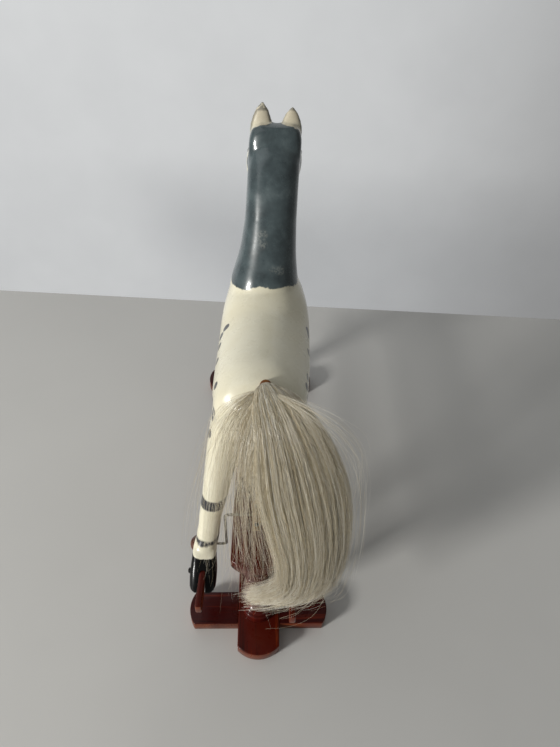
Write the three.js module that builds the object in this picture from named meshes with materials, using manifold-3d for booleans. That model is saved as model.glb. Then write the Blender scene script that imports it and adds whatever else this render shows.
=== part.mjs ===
// A carved and painted wooden rocking horse model that hangs on swing irons from a varnished stand.
// Millimetres, +Z up. The horse faces +Y, and the origin is on the floor under the middle of the stand.
import * as THREE from "three";
import { mergeVertices } from "three/addons/utils/BufferGeometryUtils.js";
import Module from "manifold-3d";

const wasm = await Module();
wasm.setup();

// Stand
const GAP = 0.3; // play between pieces that touch
const STAND_LENGTH = 314;
const BOARD_THICK = 10;
const BEAM_WIDTH = 31;
const BEAM_END_RISE = 6.5; // how far the rounded ends stand out past their corners
const CROSS_LENGTH = 105;
const CROSS_DEPTH = 25;
const CROSS_END_RISE = 4;
const CROSS_Y = 121.6; // middle of a cross-piece, from the middle of the stand
const BAR_LENGTH = 266;
const BAR_WIDTH = 33;
const BAR_THICK = 10;
const BAR_TOP = 96;
const BAR_END_RISE = 7;
const BAR_YAW = -1.2 * (Math.PI / 180); // the bar sits slightly askew on its pillars
const PILLAR_RADIUS = 12;

// Swing irons, with their straps, and the rails that they carry
const IRON_RADIUS = 1;
const IRON_BEND = 3;
const IRON_HALF_SPAN = 20.3;
const SWING_Y = 93; // swing axes in front of and behind the middle
const SWING_TOP = BAR_TOP + 2 * GAP + IRON_RADIUS;
const SWING_LOW = 57;
const REAR_IRON_X = -3.9; // the irons hang loosely in their straps, pushed sideways by the horse
const FRONT_IRON_X = 3.4;
const STRAP_WIDTH = 5.6;
const STRAP_THICK = 0.9;
const STRAP_HALF_LENGTH = 12;
const STRAP_SCREW_Y = 7.4;
const SCREW_RADIUS = 1.5;
const CAP_RADIUS = 6.8;
const CAP_LENGTH = 9.5;
const CAP_SOCKET = 6.5;
const RAIL_LENGTH = 289;
const RIGHT_RAIL_SLIP = 5; // the right rail was fitted a little further back than the left
const LEFT_SPLAY = 0.02; // the left feet and their rail run out to the left, going back
const RAIL_THICK = 4.4;
const RAIL_HEIGHT = 10;
const RAIL_SPREAD = 31; // middle of a rail from the horse's own middle plane
const RAIL_TOP = SWING_LOW + RAIL_HEIGHT / 2;
const RAIL_BORE = IRON_RADIUS + 0.6;

// The horse stands a little askew on its stand, and leans a little to its right
const HORSE_YAW = -2.3 * (Math.PI / 180);
const HORSE_X = -2;
const HORSE_LEAN = 0.033;
const LEAN_FROM = 62;

// Horse, in its own frame: its middle plane is x = 0
const BACK = 201; // top of the back behind the withers
const BODY_MIDDLE = 172;
const BODY_HALF_WIDTH = 31.6;
const POLL = new THREE.Vector3(0, 84, 284);
const MUZZLE = new THREE.Vector3(0, 134, 230);
const HIP_SPREAD = 15;
const EAR_SPREAD = 10.2;
const EAR_TIP = new THREE.Vector3(EAR_SPREAD, 95, 305);
const HOOF_SOLE = RAIL_TOP - 11;
const HOOF_TOP = 70;
const HOOF_HALF_WIDTH = 9.6;
const HOOF_Y = 119; // middle of a sole
const TAIL_ROOT = new THREE.Vector3(3, -66, 202);
const PLUG_RADIUS = 3.6;
const PLUG_LEAN = 0.5;
const PLUG_DEPTH = 8;
const PLUG_PROUD = 1.5;
const VEIL_HALF_THICK = 1.7;
const BOLT_RADIUS = 2;
const BOLT_Y = HOOF_Y - 3;

const MAHOGANY = { color: 0x5a1a0c, roughness: 0.25, metalness: 0 };
const CREAM = { color: 0xe6e1d2, roughness: 0.3, metalness: 0 };
const BRASS = { color: 0xb08a3e, roughness: 0.35, metalness: 1 };
const STEEL = { color: 0x7d7f80, roughness: 0.4, metalness: 1 };
const DARK_IRON = { color: 0x1b1b1c, roughness: 0.5, metalness: 0.8 };
const CAP_WOOD = { color: 0x4a2a20, roughness: 0.4, metalness: 0 };
const HORSEHAIR = { color: 0xd9cfae, roughness: 0.6, metalness: 0 };

// Solids and booleans

function toSolid(geometry) {
  const bare = geometry.index ? geometry.toNonIndexed() : geometry.clone();
  bare.deleteAttribute("normal");
  bare.deleteAttribute("uv");
  const merged = mergeVertices(bare, 1e-3);
  return new wasm.Manifold(
    new wasm.Mesh({
      numProp: 3,
      vertProperties: merged.attributes.position.array,
      triVerts: new Uint32Array(merged.index.array),
    }),
  );
}

function toGeometry(solid) {
  const { vertProperties, triVerts } = solid.getMesh();
  const geometry = new THREE.BufferGeometry();
  geometry.setAttribute("position", new THREE.BufferAttribute(vertProperties, 3));
  geometry.setIndex(new THREE.BufferAttribute(triVerts, 1));
  geometry.computeVertexNormals();
  return geometry;
}

function join(geometries) {
  return geometries.map(toSolid).reduce((all, next) => all.add(next));
}

function cut(geometry, tools) {
  return toGeometry(tools.map(toSolid).reduce((left, tool) => left.subtract(tool), toSolid(geometry)));
}

function box(width, depth, height, x, y, z) {
  return new THREE.BoxGeometry(width, depth, height).translate(x, y, z);
}

// A cylinder whose axis runs along X.
function crossCylinder(radius, length, x, y, z, sides = 16) {
  return new THREE.CylinderGeometry(radius, radius, length, sides).rotateZ(Math.PI / 2).translate(x, y, z);
}

// Lofts

// A closed skin over rings that all hold the same number of points.
function skin(rings) {
  const sides = rings[0].length;
  const points = rings.flat();
  const faces = [];
  rings.slice(1).forEach((_, ring) => {
    for (let i = 0; i < sides; i += 1) {
      const a = ring * sides + i;
      const b = ring * sides + ((i + 1) % sides);
      faces.push(a, b, a + sides, b, b + sides, a + sides);
    }
  });
  const middle = (ring) => ring.reduce((sum, p) => sum.add(p), new THREE.Vector3()).divideScalar(sides);
  const first = points.push(middle(rings[0])) - 1;
  const last = points.push(middle(rings.at(-1))) - 1;
  const lastRing = (rings.length - 1) * sides;
  for (let i = 0; i < sides; i += 1) {
    const j = (i + 1) % sides;
    faces.push(first, j, i);
    faces.push(last, lastRing + i, lastRing + j);
  }
  if (signedVolume(points, faces) < 0) faces.reverse();
  const geometry = new THREE.BufferGeometry().setFromPoints(points);
  geometry.setIndex(faces);
  geometry.computeVertexNormals();
  return geometry;
}

function signedVolume(points, faces) {
  let sum = 0;
  for (let i = 0; i < faces.length; i += 3) {
    const [a, b, c] = [points[faces[i]], points[faces[i + 1]], points[faces[i + 2]]];
    sum += a.dot(b.clone().cross(c)) / 6;
  }
  return sum;
}

// An oval with half-sizes wide (along side) and deep (along up). A fullness over 2 squares it off.
function oval(centre, side, up, wide, deep, sides, fullness) {
  const bend = (v) => Math.sign(v) * Math.abs(v) ** (2 / fullness);
  return Array.from({ length: sides }, (_, i) => {
    const angle = (2 * Math.PI * i) / sides;
    return centre
      .clone()
      .addScaledVector(side, wide * bend(Math.cos(angle)))
      .addScaledVector(up, deep * bend(Math.sin(angle)));
  });
}

// A smooth form through stations [x, y, z, wide, deep, fullness]. Its sections stand square to the
// line through the stations, or lie flat where level is true.
function form(stations, { rings = 3, sides = 16, level = false } = {}) {
  const line = new THREE.CatmullRomCurve3(stations.map(([x, y, z]) => new THREE.Vector3(x, y, z)));
  const size = new THREE.CatmullRomCurve3(
    stations.map(([, , , wide, deep, fullness = 2]) => new THREE.Vector3(wide, deep, fullness)),
  );
  const count = (stations.length - 1) * rings;
  const list = [];
  for (let i = 0; i <= count; i += 1) {
    const t = i / count;
    const along = level ? new THREE.Vector3(0, 0, 1) : line.getTangent(t);
    const side = new THREE.Vector3(1, 0, 0).addScaledVector(along, -along.x).normalize();
    const up = along.clone().cross(side);
    const { x: wide, y: deep, z: fullness } = size.getPoint(t);
    list.push(oval(line.getPoint(t), side, up, wide, deep, sides, fullness));
  }
  return skin(list);
}

// A turned piece: [radius, height] pairs from the axis at the bottom to the axis at the top, +Z up.
function turned(profile, sides) {
  const points = profile.map(([radius, height]) => new THREE.Vector2(radius, height));
  return new THREE.LatheGeometry(points, sides).rotateX(Math.PI / 2);
}

// Boards

// A board whose two ends bulge out in a shallow arc, along +Y, with its underside at z = 0.
function roundEndedBoard(length, width, thick, endRise, segments = 10) {
  const corner = length / 2 - endRise;
  const radius = ((width / 2) ** 2 + endRise ** 2) / (2 * endRise);
  const half = Math.asin(width / 2 / radius);
  const outline = new THREE.Shape();
  outline.moveTo(width / 2, -corner);
  outline.lineTo(width / 2, corner);
  outline.absarc(0, length / 2 - radius, radius, Math.PI / 2 - half, Math.PI / 2 + half);
  outline.lineTo(-width / 2, -corner);
  outline.absarc(0, radius - length / 2, radius, -Math.PI / 2 - half, -Math.PI / 2 + half);
  return new THREE.ExtrudeGeometry(outline, { depth: thick, bevelEnabled: false, curveSegments: segments });
}

// The beam is halved from below at each crossing, and the cross-pieces are halved from above.
function baseBeam() {
  const lap = BOARD_THICK / 2 + GAP;
  const notches = [-CROSS_Y, CROSS_Y].map((y) =>
    box(BEAM_WIDTH + 2, CROSS_DEPTH + 2 * GAP, lap * 2, 0, y, 0),
  );
  return cut(roundEndedBoard(STAND_LENGTH, BEAM_WIDTH, BOARD_THICK, BEAM_END_RISE), notches);
}

function crossPiece() {
  const board = roundEndedBoard(CROSS_LENGTH, CROSS_DEPTH, BOARD_THICK, CROSS_END_RISE).rotateZ(Math.PI / 2);
  const notch = box(BEAM_WIDTH + 2 * GAP, CROSS_DEPTH + 2, BOARD_THICK, 0, 0, BOARD_THICK);
  return cut(board, [notch]);
}

function topBar() {
  return roundEndedBoard(BAR_LENGTH, BAR_WIDTH, BAR_THICK, BAR_END_RISE);
}

// A turned pillar: a foot and a head of equal size, with a bulb, two beads and a waist between them.
function pillar() {
  const r = PILLAR_RADIUS;
  const height = BAR_TOP - BAR_THICK - BOARD_THICK - 2 * GAP;
  const bead = (at, radius) => [
    [radius - 2, at - 2],
    [radius, at - 0.8],
    [radius, at + 0.8],
    [radius - 2, at + 2],
  ];
  return turned(
    [
      [0, 0],
      [r, 0],
      [r, 7],
      ...bead(10, r - 1.2),
      [r - 5, 14],
      [r - 3.2, 22],
      [r - 0.6, 33],
      [r - 1.8, 45],
      [r - 4.6, 56],
      ...bead(61, r - 1.2),
      [r, 68],
      [r, height],
      [0, height],
    ],
    16,
  );
}

// Swing irons and their fittings

// Middle of a rail, across the horse, at a place along the horse: left for side -1, right for side 1.
function railAcross(side, along) {
  return side < 0 ? LEFT_SPLAY * along - RAIL_SPREAD : RAIL_SPREAD;
}

// Where a rail crosses the line Y = y of the stand: along and across the horse, and x of the stand.
function railCrossing(side, y) {
  const splay = side < 0 ? LEFT_SPLAY : 0;
  const sin = Math.sin(HORSE_YAW);
  const cos = Math.cos(HORSE_YAW);
  const along = (y - side * RAIL_SPREAD * sin) / (cos + splay * sin);
  const across = railAcross(side, along);
  return { along, across, x: HORSE_X + across * cos - along * sin };
}

function pinEnd(side, y) {
  return railCrossing(side, y).x + side * (RAIL_THICK / 2 + CAP_SOCKET);
}

// One bent rod: a pin through the left rail, up beside the bar, over it, down, and through the right rail.
function swingIron(centreX, y) {
  const left = centreX - IRON_HALF_SPAN;
  const right = centreX + IRON_HALF_SPAN;
  const corners = [
    [pinEnd(-1, y), SWING_LOW],
    [left, SWING_LOW],
    [left, SWING_TOP],
    [right, SWING_TOP],
    [right, SWING_LOW],
    [pinEnd(1, y), SWING_LOW],
  ].map(([x, z]) => new THREE.Vector3(x, y, z));
  const path = new THREE.CurvePath();
  let from = corners[0];
  for (let i = 1; i < corners.length - 1; i += 1) {
    const into = corners[i].clone().sub(corners[i - 1]).setLength(IRON_BEND);
    const away = corners[i + 1].clone().sub(corners[i]).setLength(IRON_BEND);
    const start = corners[i].clone().sub(into);
    const end = corners[i].clone().add(away);
    path.add(new THREE.LineCurve3(from, start));
    path.add(new THREE.QuadraticBezierCurve3(start, corners[i], end));
    from = end;
  }
  path.add(new THREE.LineCurve3(from, corners.at(-1)));
  const section = new THREE.Shape().absarc(0, 0, IRON_RADIUS, 0, 2 * Math.PI);
  return new THREE.ExtrudeGeometry(section, { steps: 31, curveSegments: 4, extrudePath: path });
}

// A brass strap screwed to the top bar, with a hump that holds the iron down.
function strap(y) {
  const inside = IRON_RADIUS + GAP;
  const outside = inside + STRAP_THICK;
  const foot = BAR_TOP + GAP;
  const end = STRAP_HALF_LENGTH;
  const outline = new THREE.Shape();
  outline.moveTo(-end, foot);
  outline.lineTo(-inside, foot);
  outline.lineTo(-inside, SWING_TOP);
  outline.absarc(0, SWING_TOP, inside, Math.PI, 0, true);
  outline.lineTo(inside, foot);
  outline.lineTo(end, foot);
  outline.lineTo(end, foot + STRAP_THICK);
  outline.lineTo(outside, foot + STRAP_THICK);
  outline.lineTo(outside, SWING_TOP);
  outline.absarc(0, SWING_TOP, outside, 0, Math.PI);
  outline.lineTo(-outside, foot + STRAP_THICK);
  outline.lineTo(-end, foot + STRAP_THICK);
  const settings = { depth: STRAP_WIDTH, bevelEnabled: false, curveSegments: 4 };
  const bent = new THREE.ExtrudeGeometry(outline, settings)
    .rotateX(Math.PI / 2)
    .rotateZ(Math.PI / 2)
    .translate(-STRAP_WIDTH / 2, y, 0);
  const holes = [-STRAP_SCREW_Y, STRAP_SCREW_Y].map((dy) =>
    new THREE.CylinderGeometry(SCREW_RADIUS + GAP, SCREW_RADIUS + GAP, 4, 12)
      .rotateX(Math.PI / 2)
      .translate(0, y + dy, foot),
  );
  return cut(bent, holes);
}

function strapScrew() {
  return turned(
    [
      [0, 0],
      [SCREW_RADIUS, 0],
      [SCREW_RADIUS, 1],
      [SCREW_RADIUS * 0.7, 1.6],
      [0, 1.8],
    ],
    12,
  );
}

// A turned wooden cap on the end of a pin: a blind socket, a rim and a rounded end, pointing along +X.
function ironCap() {
  const socket = IRON_RADIUS + GAP;
  return turned(
    [
      [0, CAP_SOCKET],
      [socket, CAP_SOCKET],
      [socket, 0],
      [CAP_RADIUS * 0.8, 0],
      [CAP_RADIUS, 1.4],
      [CAP_RADIUS, 3.4],
      [CAP_RADIUS * 0.85, CAP_LENGTH * 0.66],
      [CAP_RADIUS * 0.5, CAP_LENGTH * 0.92],
      [0, CAP_LENGTH],
    ],
    12,
  ).rotateY(Math.PI / 2);
}

function hoofBolt() {
  return turned(
    [
      [0, 0],
      [BOLT_RADIUS, 0],
      [BOLT_RADIUS, 1.4],
      [BOLT_RADIUS * 0.75, 2.2],
      [0, 2.5],
    ],
    10,
  ).rotateY(Math.PI / 2);
}

// A long box on the line of a rail.
function railLine(side, thick, length, height, slip, z) {
  const splay = new THREE.Matrix4().makeShear(0, 0, side < 0 ? LEFT_SPLAY : 0, 0, 0, 0);
  return box(thick, length, height, side * RAIL_SPREAD, slip, z).applyMatrix4(splay);
}

// A rail stands on edge and is bored for the pins of both irons.
function rail(side) {
  const slip = side > 0 ? -RIGHT_RAIL_SLIP : 0;
  const board = railLine(side, RAIL_THICK, RAIL_LENGTH, RAIL_HEIGHT, slip, SWING_LOW);
  const bores = [-SWING_Y, SWING_Y].map((y) => {
    const { along, across } = railCrossing(side, y);
    return crossCylinder(RAIL_BORE, RAIL_THICK * 3, across, along, SWING_LOW, 12);
  });
  return cut(board, bores);
}

// Horse

function barrel() {
  const w = BODY_HALF_WIDTH;
  return form(
    [
      [0, -79, 179, w * 0.16, 5, 2],
      [0, -76, 179, w * 0.55, 15, 2.1],
      [0, -68, 177, w * 0.9, 24, 2.2],
      [0, -50, 174.5, w, 29, 2.2],
      [-0.7, -22, BODY_MIDDLE, w * 1.03, BACK - BODY_MIDDLE, 2.2],
      [-0.8, 6, BODY_MIDDLE, w * 1.03, BACK - BODY_MIDDLE, 2.2],
      [-1.2, 30, 176, w, 31, 2.2],
      [-1.5, 50, 179, w * 0.88, 31, 2.1],
      [-1, 65, 180, w * 0.68, 23, 2.1],
      [0, 72, 180, w * 0.38, 12, 2],
      [0, 74, 180, w * 0.1, 4, 2],
    ],
    { rings: 2, sides: 18 },
  );
}

function neck() {
  return form(
    [
      [-2, 32, 176, 26.5, 24, 2.1],
      [-1.8, 44, 196, 25, 26, 2.2],
      [-0.6, 53, 217, 20.6, 22, 2.3],
      [0, 62, 238, 18.4, 18.6, 2.4],
      [0, 71.5, 257, 18, 16.4, 2.4],
      [0, 82, 272, 17.8, 14.4, 2.3],
      [0, 93, 281, 14, 11, 2.1],
      [0, 101, 284, 7, 5, 2],
    ],
    { rings: 2, sides: 16 },
  );
}

function head() {
  const along = MUZZLE.clone().sub(POLL);
  const station = (t, lift, wide, deep, fullness) => {
    const p = POLL.clone().addScaledVector(along, t);
    return [0, p.y + lift * 0.73, p.z + lift * 0.68, wide, deep, fullness];
  };
  return form(
    [
      station(-0.02, -9, 9, 9, 2),
      station(0.08, -8, 16, 15, 2.2),
      station(0.22, -7, 19.6, 19.5, 2.4),
      station(0.42, -5, 18.8, 18.5, 2.4),
      station(0.6, -1.5, 14.2, 13.2, 2.4),
      station(0.78, 0, 11.4, 10.4, 2.4),
      station(0.93, -0.8, 11.6, 11, 2.4),
      station(1.04, -1.5, 10, 9.6, 2.3),
      station(1.1, -2, 4.5, 4.6, 2),
    ],
    { rings: 2, sides: 16 },
  );
}

function ear(side) {
  const root = new THREE.Vector3(EAR_SPREAD, 88, 281);
  const station = (t, wide, deep) => {
    const { x, y, z } = root.clone().lerp(EAR_TIP, t);
    return [side * x, y, z, wide, deep, 2];
  };
  return form(
    [
      station(0, 5.6, 5),
      station(0.3, 6.8, 4.2),
      station(0.55, 6.1, 3.4),
      station(0.8, 4, 2.4),
      station(1, 0.8, 0.8),
    ],
    { rings: 2, sides: 8 },
  );
}

// Hind legs reach back and forelegs reach forward. Both end in a wedge hoof that sits astride its rail.
// Each x is a share of the way from the hip or shoulder out to the hoof.
function leg(side, end, stations) {
  const top = side * HIP_SPREAD;
  const foot = railAcross(side, end * HOOF_Y);
  const placed = stations.map(([out, y, z, wide, deep]) => {
    const x = top + (foot - top) * out;
    return [x, end * y, z, wide, deep, 2.1];
  });
  return form(placed, { rings: 1, sides: 12 });
}

function hindLeg(side) {
  return leg(side, -1, [
    [0, 50, 178, 14, 20],
    [0.22, 56, 158, 13, 19],
    [0.44, 64, 140, 11.8, 17],
    [0.68, 74, 122, 9.8, 13],
    [0.86, 84, 107, 8.4, 10],
    [0.98, 89, 94, 6.9, 7],
    [1, 93, 82, 7, 6.6],
    [1, 98, 73, 7.4, 7.4],
    [1, 103, 67, 7.6, 7],
    [1, 108, 60, 5.6, 5],
  ]);
}

function foreLeg(side) {
  return leg(side, 1, [
    [0, 46, 180, 14, 19],
    [0.22, 54, 160, 13, 17],
    [0.46, 64, 141, 11, 13],
    [0.7, 76, 122, 9, 9.6],
    [0.88, 85, 107, 8, 8.4],
    [0.98, 90, 94, 6.8, 6.4],
    [1, 94, 82, 6.8, 6.2],
    [1, 98, 73, 7.2, 7.2],
    [1, 103, 67, 7.4, 7],
    [1, 108, 60, 5.6, 5],
  ]);
}

// A hoof whose sole is further from the horse's middle than its top, end -1 behind and 1 in front.
function hoof(side, end) {
  const w = HOOF_HALF_WIDTH;
  const rise = HOOF_TOP - HOOF_SOLE;
  const station = (back, share, wide, deep) => {
    const y = end * (HOOF_Y - back);
    return [railAcross(side, y), y, HOOF_SOLE + rise * share, wide, deep, 2.5];
  };
  return form(
    [
      station(0, 0, w, 12.4),
      station(3.5, 0.3, w, 11.4),
      station(9.5, 0.7, w * 0.92, 9),
      station(15.5, 1, w * 0.8, 7),
    ],
    { rings: 1, sides: 14, level: true },
  );
}

function eye(side) {
  return new THREE.SphereGeometry(3.2, 8, 6).scale(0.7, 1, 1).translate(side * 17.4, 99.5, 270);
}

function leanAndTurn(geometry) {
  const position = geometry.attributes.position;
  for (let i = 0; i < position.count; i += 1) {
    const rise = Math.max(0, position.getZ(i) - LEAN_FROM);
    position.setX(i, position.getX(i) + HORSE_LEAN * rise);
  }
  return geometry.rotateZ(HORSE_YAW).translate(HORSE_X, 0, 0);
}

function horseForms() {
  const forms = [barrel(), neck(), head()];
  [-1, 1].forEach((side) => {
    forms.push(ear(side), hindLeg(side), foreLeg(side), eye(side));
    [-1, 1].forEach((end) => forms.push(hoof(side, end)));
  });
  return forms;
}

function horse() {
  const tools = [plugForm(PLUG_RADIUS + GAP, PLUG_DEPTH, 12)];
  [-1, 1].forEach((side) => {
    const slotDepth = 30;
    const slotMiddle = RAIL_TOP + GAP - slotDepth / 2;
    tools.push(railLine(side, RAIL_THICK + 2 * GAP, RAIL_LENGTH + 40, slotDepth, 0, slotMiddle));
    [-1, 1].forEach((end) => {
      const seat = boltSeat(side, end) + side * 2.2;
      tools.push(crossCylinder(BOLT_RADIUS + GAP, 5, seat, end * BOLT_Y, SWING_LOW));
    });
  });
  const solid = tools.map(toSolid).reduce((left, tool) => left.subtract(tool), join(horseForms()));
  return leanAndTurn(toGeometry(solid));
}

// Where a hoof bolt's flat inner face sits, across the horse.
function boltSeat(side, end) {
  return railAcross(side, end * BOLT_Y) + side * (HOOF_HALF_WIDTH - 1);
}

// The plug that wedges the tail in its hole, and the tool that bores the hole. It leans back.
function plugForm(radius, below, above) {
  return new THREE.CylinderGeometry(radius, radius, below + above, 14)
    .translate(0, (above - below) / 2, 0)
    .rotateX(Math.PI / 2 + PLUG_LEAN)
    .translate(TAIL_ROOT.x, TAIL_ROOT.y, TAIL_ROOT.z);
}

function tailPlug() {
  return leanAndTurn(plugForm(PLUG_RADIUS, PLUG_DEPTH - GAP, PLUG_PROUD));
}

// A closed sheet of even thickness over a grid of points in rows of equal length.
function thickSheet(rows, out) {
  const wide = rows[0].length;
  const grid = rows.flat();
  const points = [...grid.map((p) => p.clone().sub(out)), ...grid.map((p) => p.clone().add(out))];
  const back = grid.length;
  const faces = [];
  const quad = (a, b, c, d) => faces.push(a, b, c, a, c, d);
  for (let a = 0; a < back - wide; a += 1) {
    if (a % wide === wide - 1) continue;
    quad(a, a + 1, a + wide + 1, a + wide);
    quad(back + a, back + a + wide, back + a + wide + 1, back + a + 1);
  }
  const columns = grid.map((_, i) => i).slice(0, wide);
  const lines = rows.map((_, i) => i * wide);
  const border = [
    ...columns,
    ...lines.slice(1).map((start) => start + wide - 1),
    ...columns.map((i) => back - 2 - i).slice(0, -1),
    ...lines.slice(1, -1).reverse(),
  ];
  border.forEach((i, n) => {
    const j = border[(n + 1) % border.length];
    quad(j, i, back + i, back + j);
  });
  if (signedVolume(points, faces) < 0) faces.reverse();
  const geometry = new THREE.BufferGeometry().setFromPoints(points);
  geometry.setIndex(faces);
  return geometry;
}

// The thick tress of the tail: out from the rump, then down behind the right hind leg.
function tress() {
  return form(
    [
      [4, -73.5, 203.5, 3.6, 2.6, 2],
      [6, -80, 202, 8, 4, 2],
      [13, -91.5, 198, 15, 5.5, 2],
      [22, -104, 183, 20.5, 6.5, 2],
      [29.5, -115, 160, 24, 8, 2],
      [34.5, -123.5, 135, 24, 9, 2],
      [38.5, -130, 110, 20.5, 9, 2],
      [42.5, -132.5, 92, 16, 8.5, 2],
      [43, -133.5, 80, 13, 6.5, 2],
      [40, -133.5, 72, 6, 3.5, 2],
    ],
    { rings: 2, sides: 12 },
  );
}

// The veil of thinner hair to the left of the tress, which ends above the bar. Each row has a left,
// a middle and a right point.
function veil() {
  const rows = [
    [[-13, -73, 199], [-5, -80, 200.5], [8, -85, 200]],
    [[-26, -76, 185], [-11, -94, 182], [9, -106, 177]],
    [[-31, -80, 169], [-12, -104, 161], [13, -118, 153]],
    [[-35.5, -86.5, 148], [-12.5, -112.5, 138], [18, -126.5, 128]],
    [[-38, -95.5, 122], [-11, -122, 113], [25, -131, 108]],
    [[-38.5, -101.5, 108], [-10, -126, 103], [28, -131.5, 102]],
  ].map((row) => {
    const [left, middle, right] = row.map((p) => new THREE.Vector3(...p));
    const ends = left.clone().add(right).divideScalar(2);
    const pull = middle.clone().multiplyScalar(2).sub(ends);
    return new THREE.QuadraticBezierCurve3(left, pull, right).getPoints(4);
  });
  return thickSheet(rows, new THREE.Vector3(-0.45, -0.8, 0.4).multiplyScalar(VEIL_HALF_THICK));
}

// The horsehair tail as one closed mass.
function tail() {
  return leanAndTurn(toGeometry(join([tress(), veil()])));
}

// The assembly

const rockingHorse = new THREE.Group();

function add(name, geometry, finish, parent = rockingHorse) {
  const mesh = new THREE.Mesh(geometry, new THREE.MeshStandardMaterial(finish));
  mesh.name = name;
  parent.add(mesh);
  return mesh;
}

const ENDS = [
  ["rear", -1, REAR_IRON_X],
  ["front", 1, FRONT_IRON_X],
];
const SIDES = [
  ["left", -1],
  ["right", 1],
];

add("base_beam", baseBeam(), MAHOGANY);
const bar = add("top_bar", topBar(), MAHOGANY);
bar.position.z = BAR_TOP - BAR_THICK;
bar.rotation.z = BAR_YAW;
ENDS.forEach(([end, way, ironX]) => {
  const axisY = way * SWING_Y;
  const strapX = -axisY * Math.tan(BAR_YAW);
  add(`${end}_cross_piece`, crossPiece(), MAHOGANY).position.y = way * CROSS_Y;
  add(`${end}_pillar`, pillar(), MAHOGANY).position.set(0, way * CROSS_Y, BOARD_THICK + GAP);
  add(`${end}_strap`, strap(axisY), BRASS).position.x = strapX;
  add(`${end}_swing_iron`, swingIron(ironX, axisY), STEEL);
  [
    ["inner", -1],
    ["outer", 1],
  ].forEach(([place, step]) => {
    const screw = add(`${end}_strap_screw_${place}`, strapScrew(), DARK_IRON);
    screw.position.set(strapX, axisY + way * step * STRAP_SCREW_Y, BAR_TOP + GAP);
  });
  SIDES.forEach(([hand, side]) => {
    const cap = add(`${end}_${hand}_iron_cap`, ironCap(), CAP_WOOD);
    const capX = railCrossing(side, axisY).x + side * (RAIL_THICK / 2 + 2 * GAP);
    cap.position.set(capX, axisY, SWING_LOW);
    if (side < 0) cap.rotation.z = Math.PI;
  });
});

const askew = new THREE.Group();
askew.position.x = HORSE_X;
askew.rotation.z = HORSE_YAW;
rockingHorse.add(askew);
SIDES.forEach(([hand, side]) => {
  add(`${hand}_rail`, rail(side), MAHOGANY, askew);
  ENDS.forEach(([end, way]) => {
    const bolt = add(`${end}_${hand}_hoof_bolt`, hoofBolt(), DARK_IRON, askew);
    bolt.position.set(boltSeat(side, way), way * BOLT_Y, SWING_LOW);
    if (side < 0) bolt.rotation.z = Math.PI;
  });
});
add("horse", horse(), CREAM);
add("tail_plug", tailPlug(), CAP_WOOD);
add("tail", tail(), HORSEHAIR);

export default rockingHorse;
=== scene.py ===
"""The looks of the rocking horse model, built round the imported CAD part."""

import math

import bmesh
import bpy
import numpy as np
from mathutils import Matrix, Vector
from mathutils.bvhtree import BVHTree


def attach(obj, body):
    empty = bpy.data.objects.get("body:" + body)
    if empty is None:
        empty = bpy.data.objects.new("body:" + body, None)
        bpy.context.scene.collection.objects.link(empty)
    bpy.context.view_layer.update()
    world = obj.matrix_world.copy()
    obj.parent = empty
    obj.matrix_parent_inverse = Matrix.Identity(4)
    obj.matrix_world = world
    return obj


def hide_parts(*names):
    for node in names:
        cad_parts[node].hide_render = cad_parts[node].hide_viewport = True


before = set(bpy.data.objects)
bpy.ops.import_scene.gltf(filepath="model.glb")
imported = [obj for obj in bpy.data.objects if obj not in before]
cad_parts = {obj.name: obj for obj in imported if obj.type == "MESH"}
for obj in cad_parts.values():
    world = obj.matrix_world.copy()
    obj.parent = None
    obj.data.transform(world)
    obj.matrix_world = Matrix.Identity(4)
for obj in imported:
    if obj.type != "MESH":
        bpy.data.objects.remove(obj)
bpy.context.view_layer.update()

MM = 0.001

# Sizes of part.mjs, in millimetres
GAP = 0.3
STAND_LENGTH = 314
BOARD_THICK = 10
BEAM_WIDTH = 31
BEAM_END_RISE = 6.5
CROSS_LENGTH = 105
CROSS_DEPTH = 25
CROSS_END_RISE = 4
CROSS_Y = 121.6
BAR_LENGTH = 266
BAR_WIDTH = 33
BAR_THICK = 10
BAR_TOP = 96
BAR_END_RISE = 7
BAR_YAW = math.radians(-1.2)
PILLAR_RADIUS = 12
IRON_RADIUS = 1
IRON_BEND = 3
IRON_HALF_SPAN = 20.3
SWING_Y = 93
SWING_TOP = BAR_TOP + 2 * GAP + IRON_RADIUS
SWING_LOW = 57
IRON_X = {"rear": -3.9, "front": 3.4}
STRAP_WIDTH = 5.6
STRAP_THICK = 0.9
STRAP_HALF_LENGTH = 12
STRAP_SCREW_Y = 7.4
SCREW_RADIUS = 1.5
CAP_RADIUS = 6.8
CAP_LENGTH = 9.5
CAP_SOCKET = 6.5
RAIL_LENGTH = 289
RIGHT_RAIL_SLIP = 5
LEFT_SPLAY = 0.02
RAIL_THICK = 4.4
RAIL_HEIGHT = 10
RAIL_SPREAD = 31
RAIL_TOP = SWING_LOW + RAIL_HEIGHT / 2
RAIL_BORE = IRON_RADIUS + 0.6
HORSE_YAW = math.radians(-2.3)
HORSE_X = -2
HORSE_LEAN = 0.033
LEAN_FROM = 62
BACK = 201
BODY_MIDDLE = 172
BODY_HALF_WIDTH = 31.6
POLL = np.array([0, 84, 284.0])
MUZZLE = np.array([0, 134, 230.0])
HIP_SPREAD = 15
EAR_SPREAD = 10.2
EAR_ROOT = np.array([EAR_SPREAD, 88, 281.0])
EAR_TIP = np.array([EAR_SPREAD, 95, 305.0])
HOOF_SOLE = RAIL_TOP - 11
HOOF_TOP = 70
HOOF_HALF_WIDTH = 9.6
HOOF_Y = 119
TAIL_ROOT = np.array([3, -66, 202.0])
PLUG_RADIUS = 3.6
PLUG_LEAN = 0.5
PLUG_DEPTH = 8
PLUG_PROUD = 1.5
BOLT_RADIUS = 2
BOLT_Y = HOOF_Y - 3
ENDS = {"rear": -1, "front": 1}
SIDES = {"left": -1, "right": 1}

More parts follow.
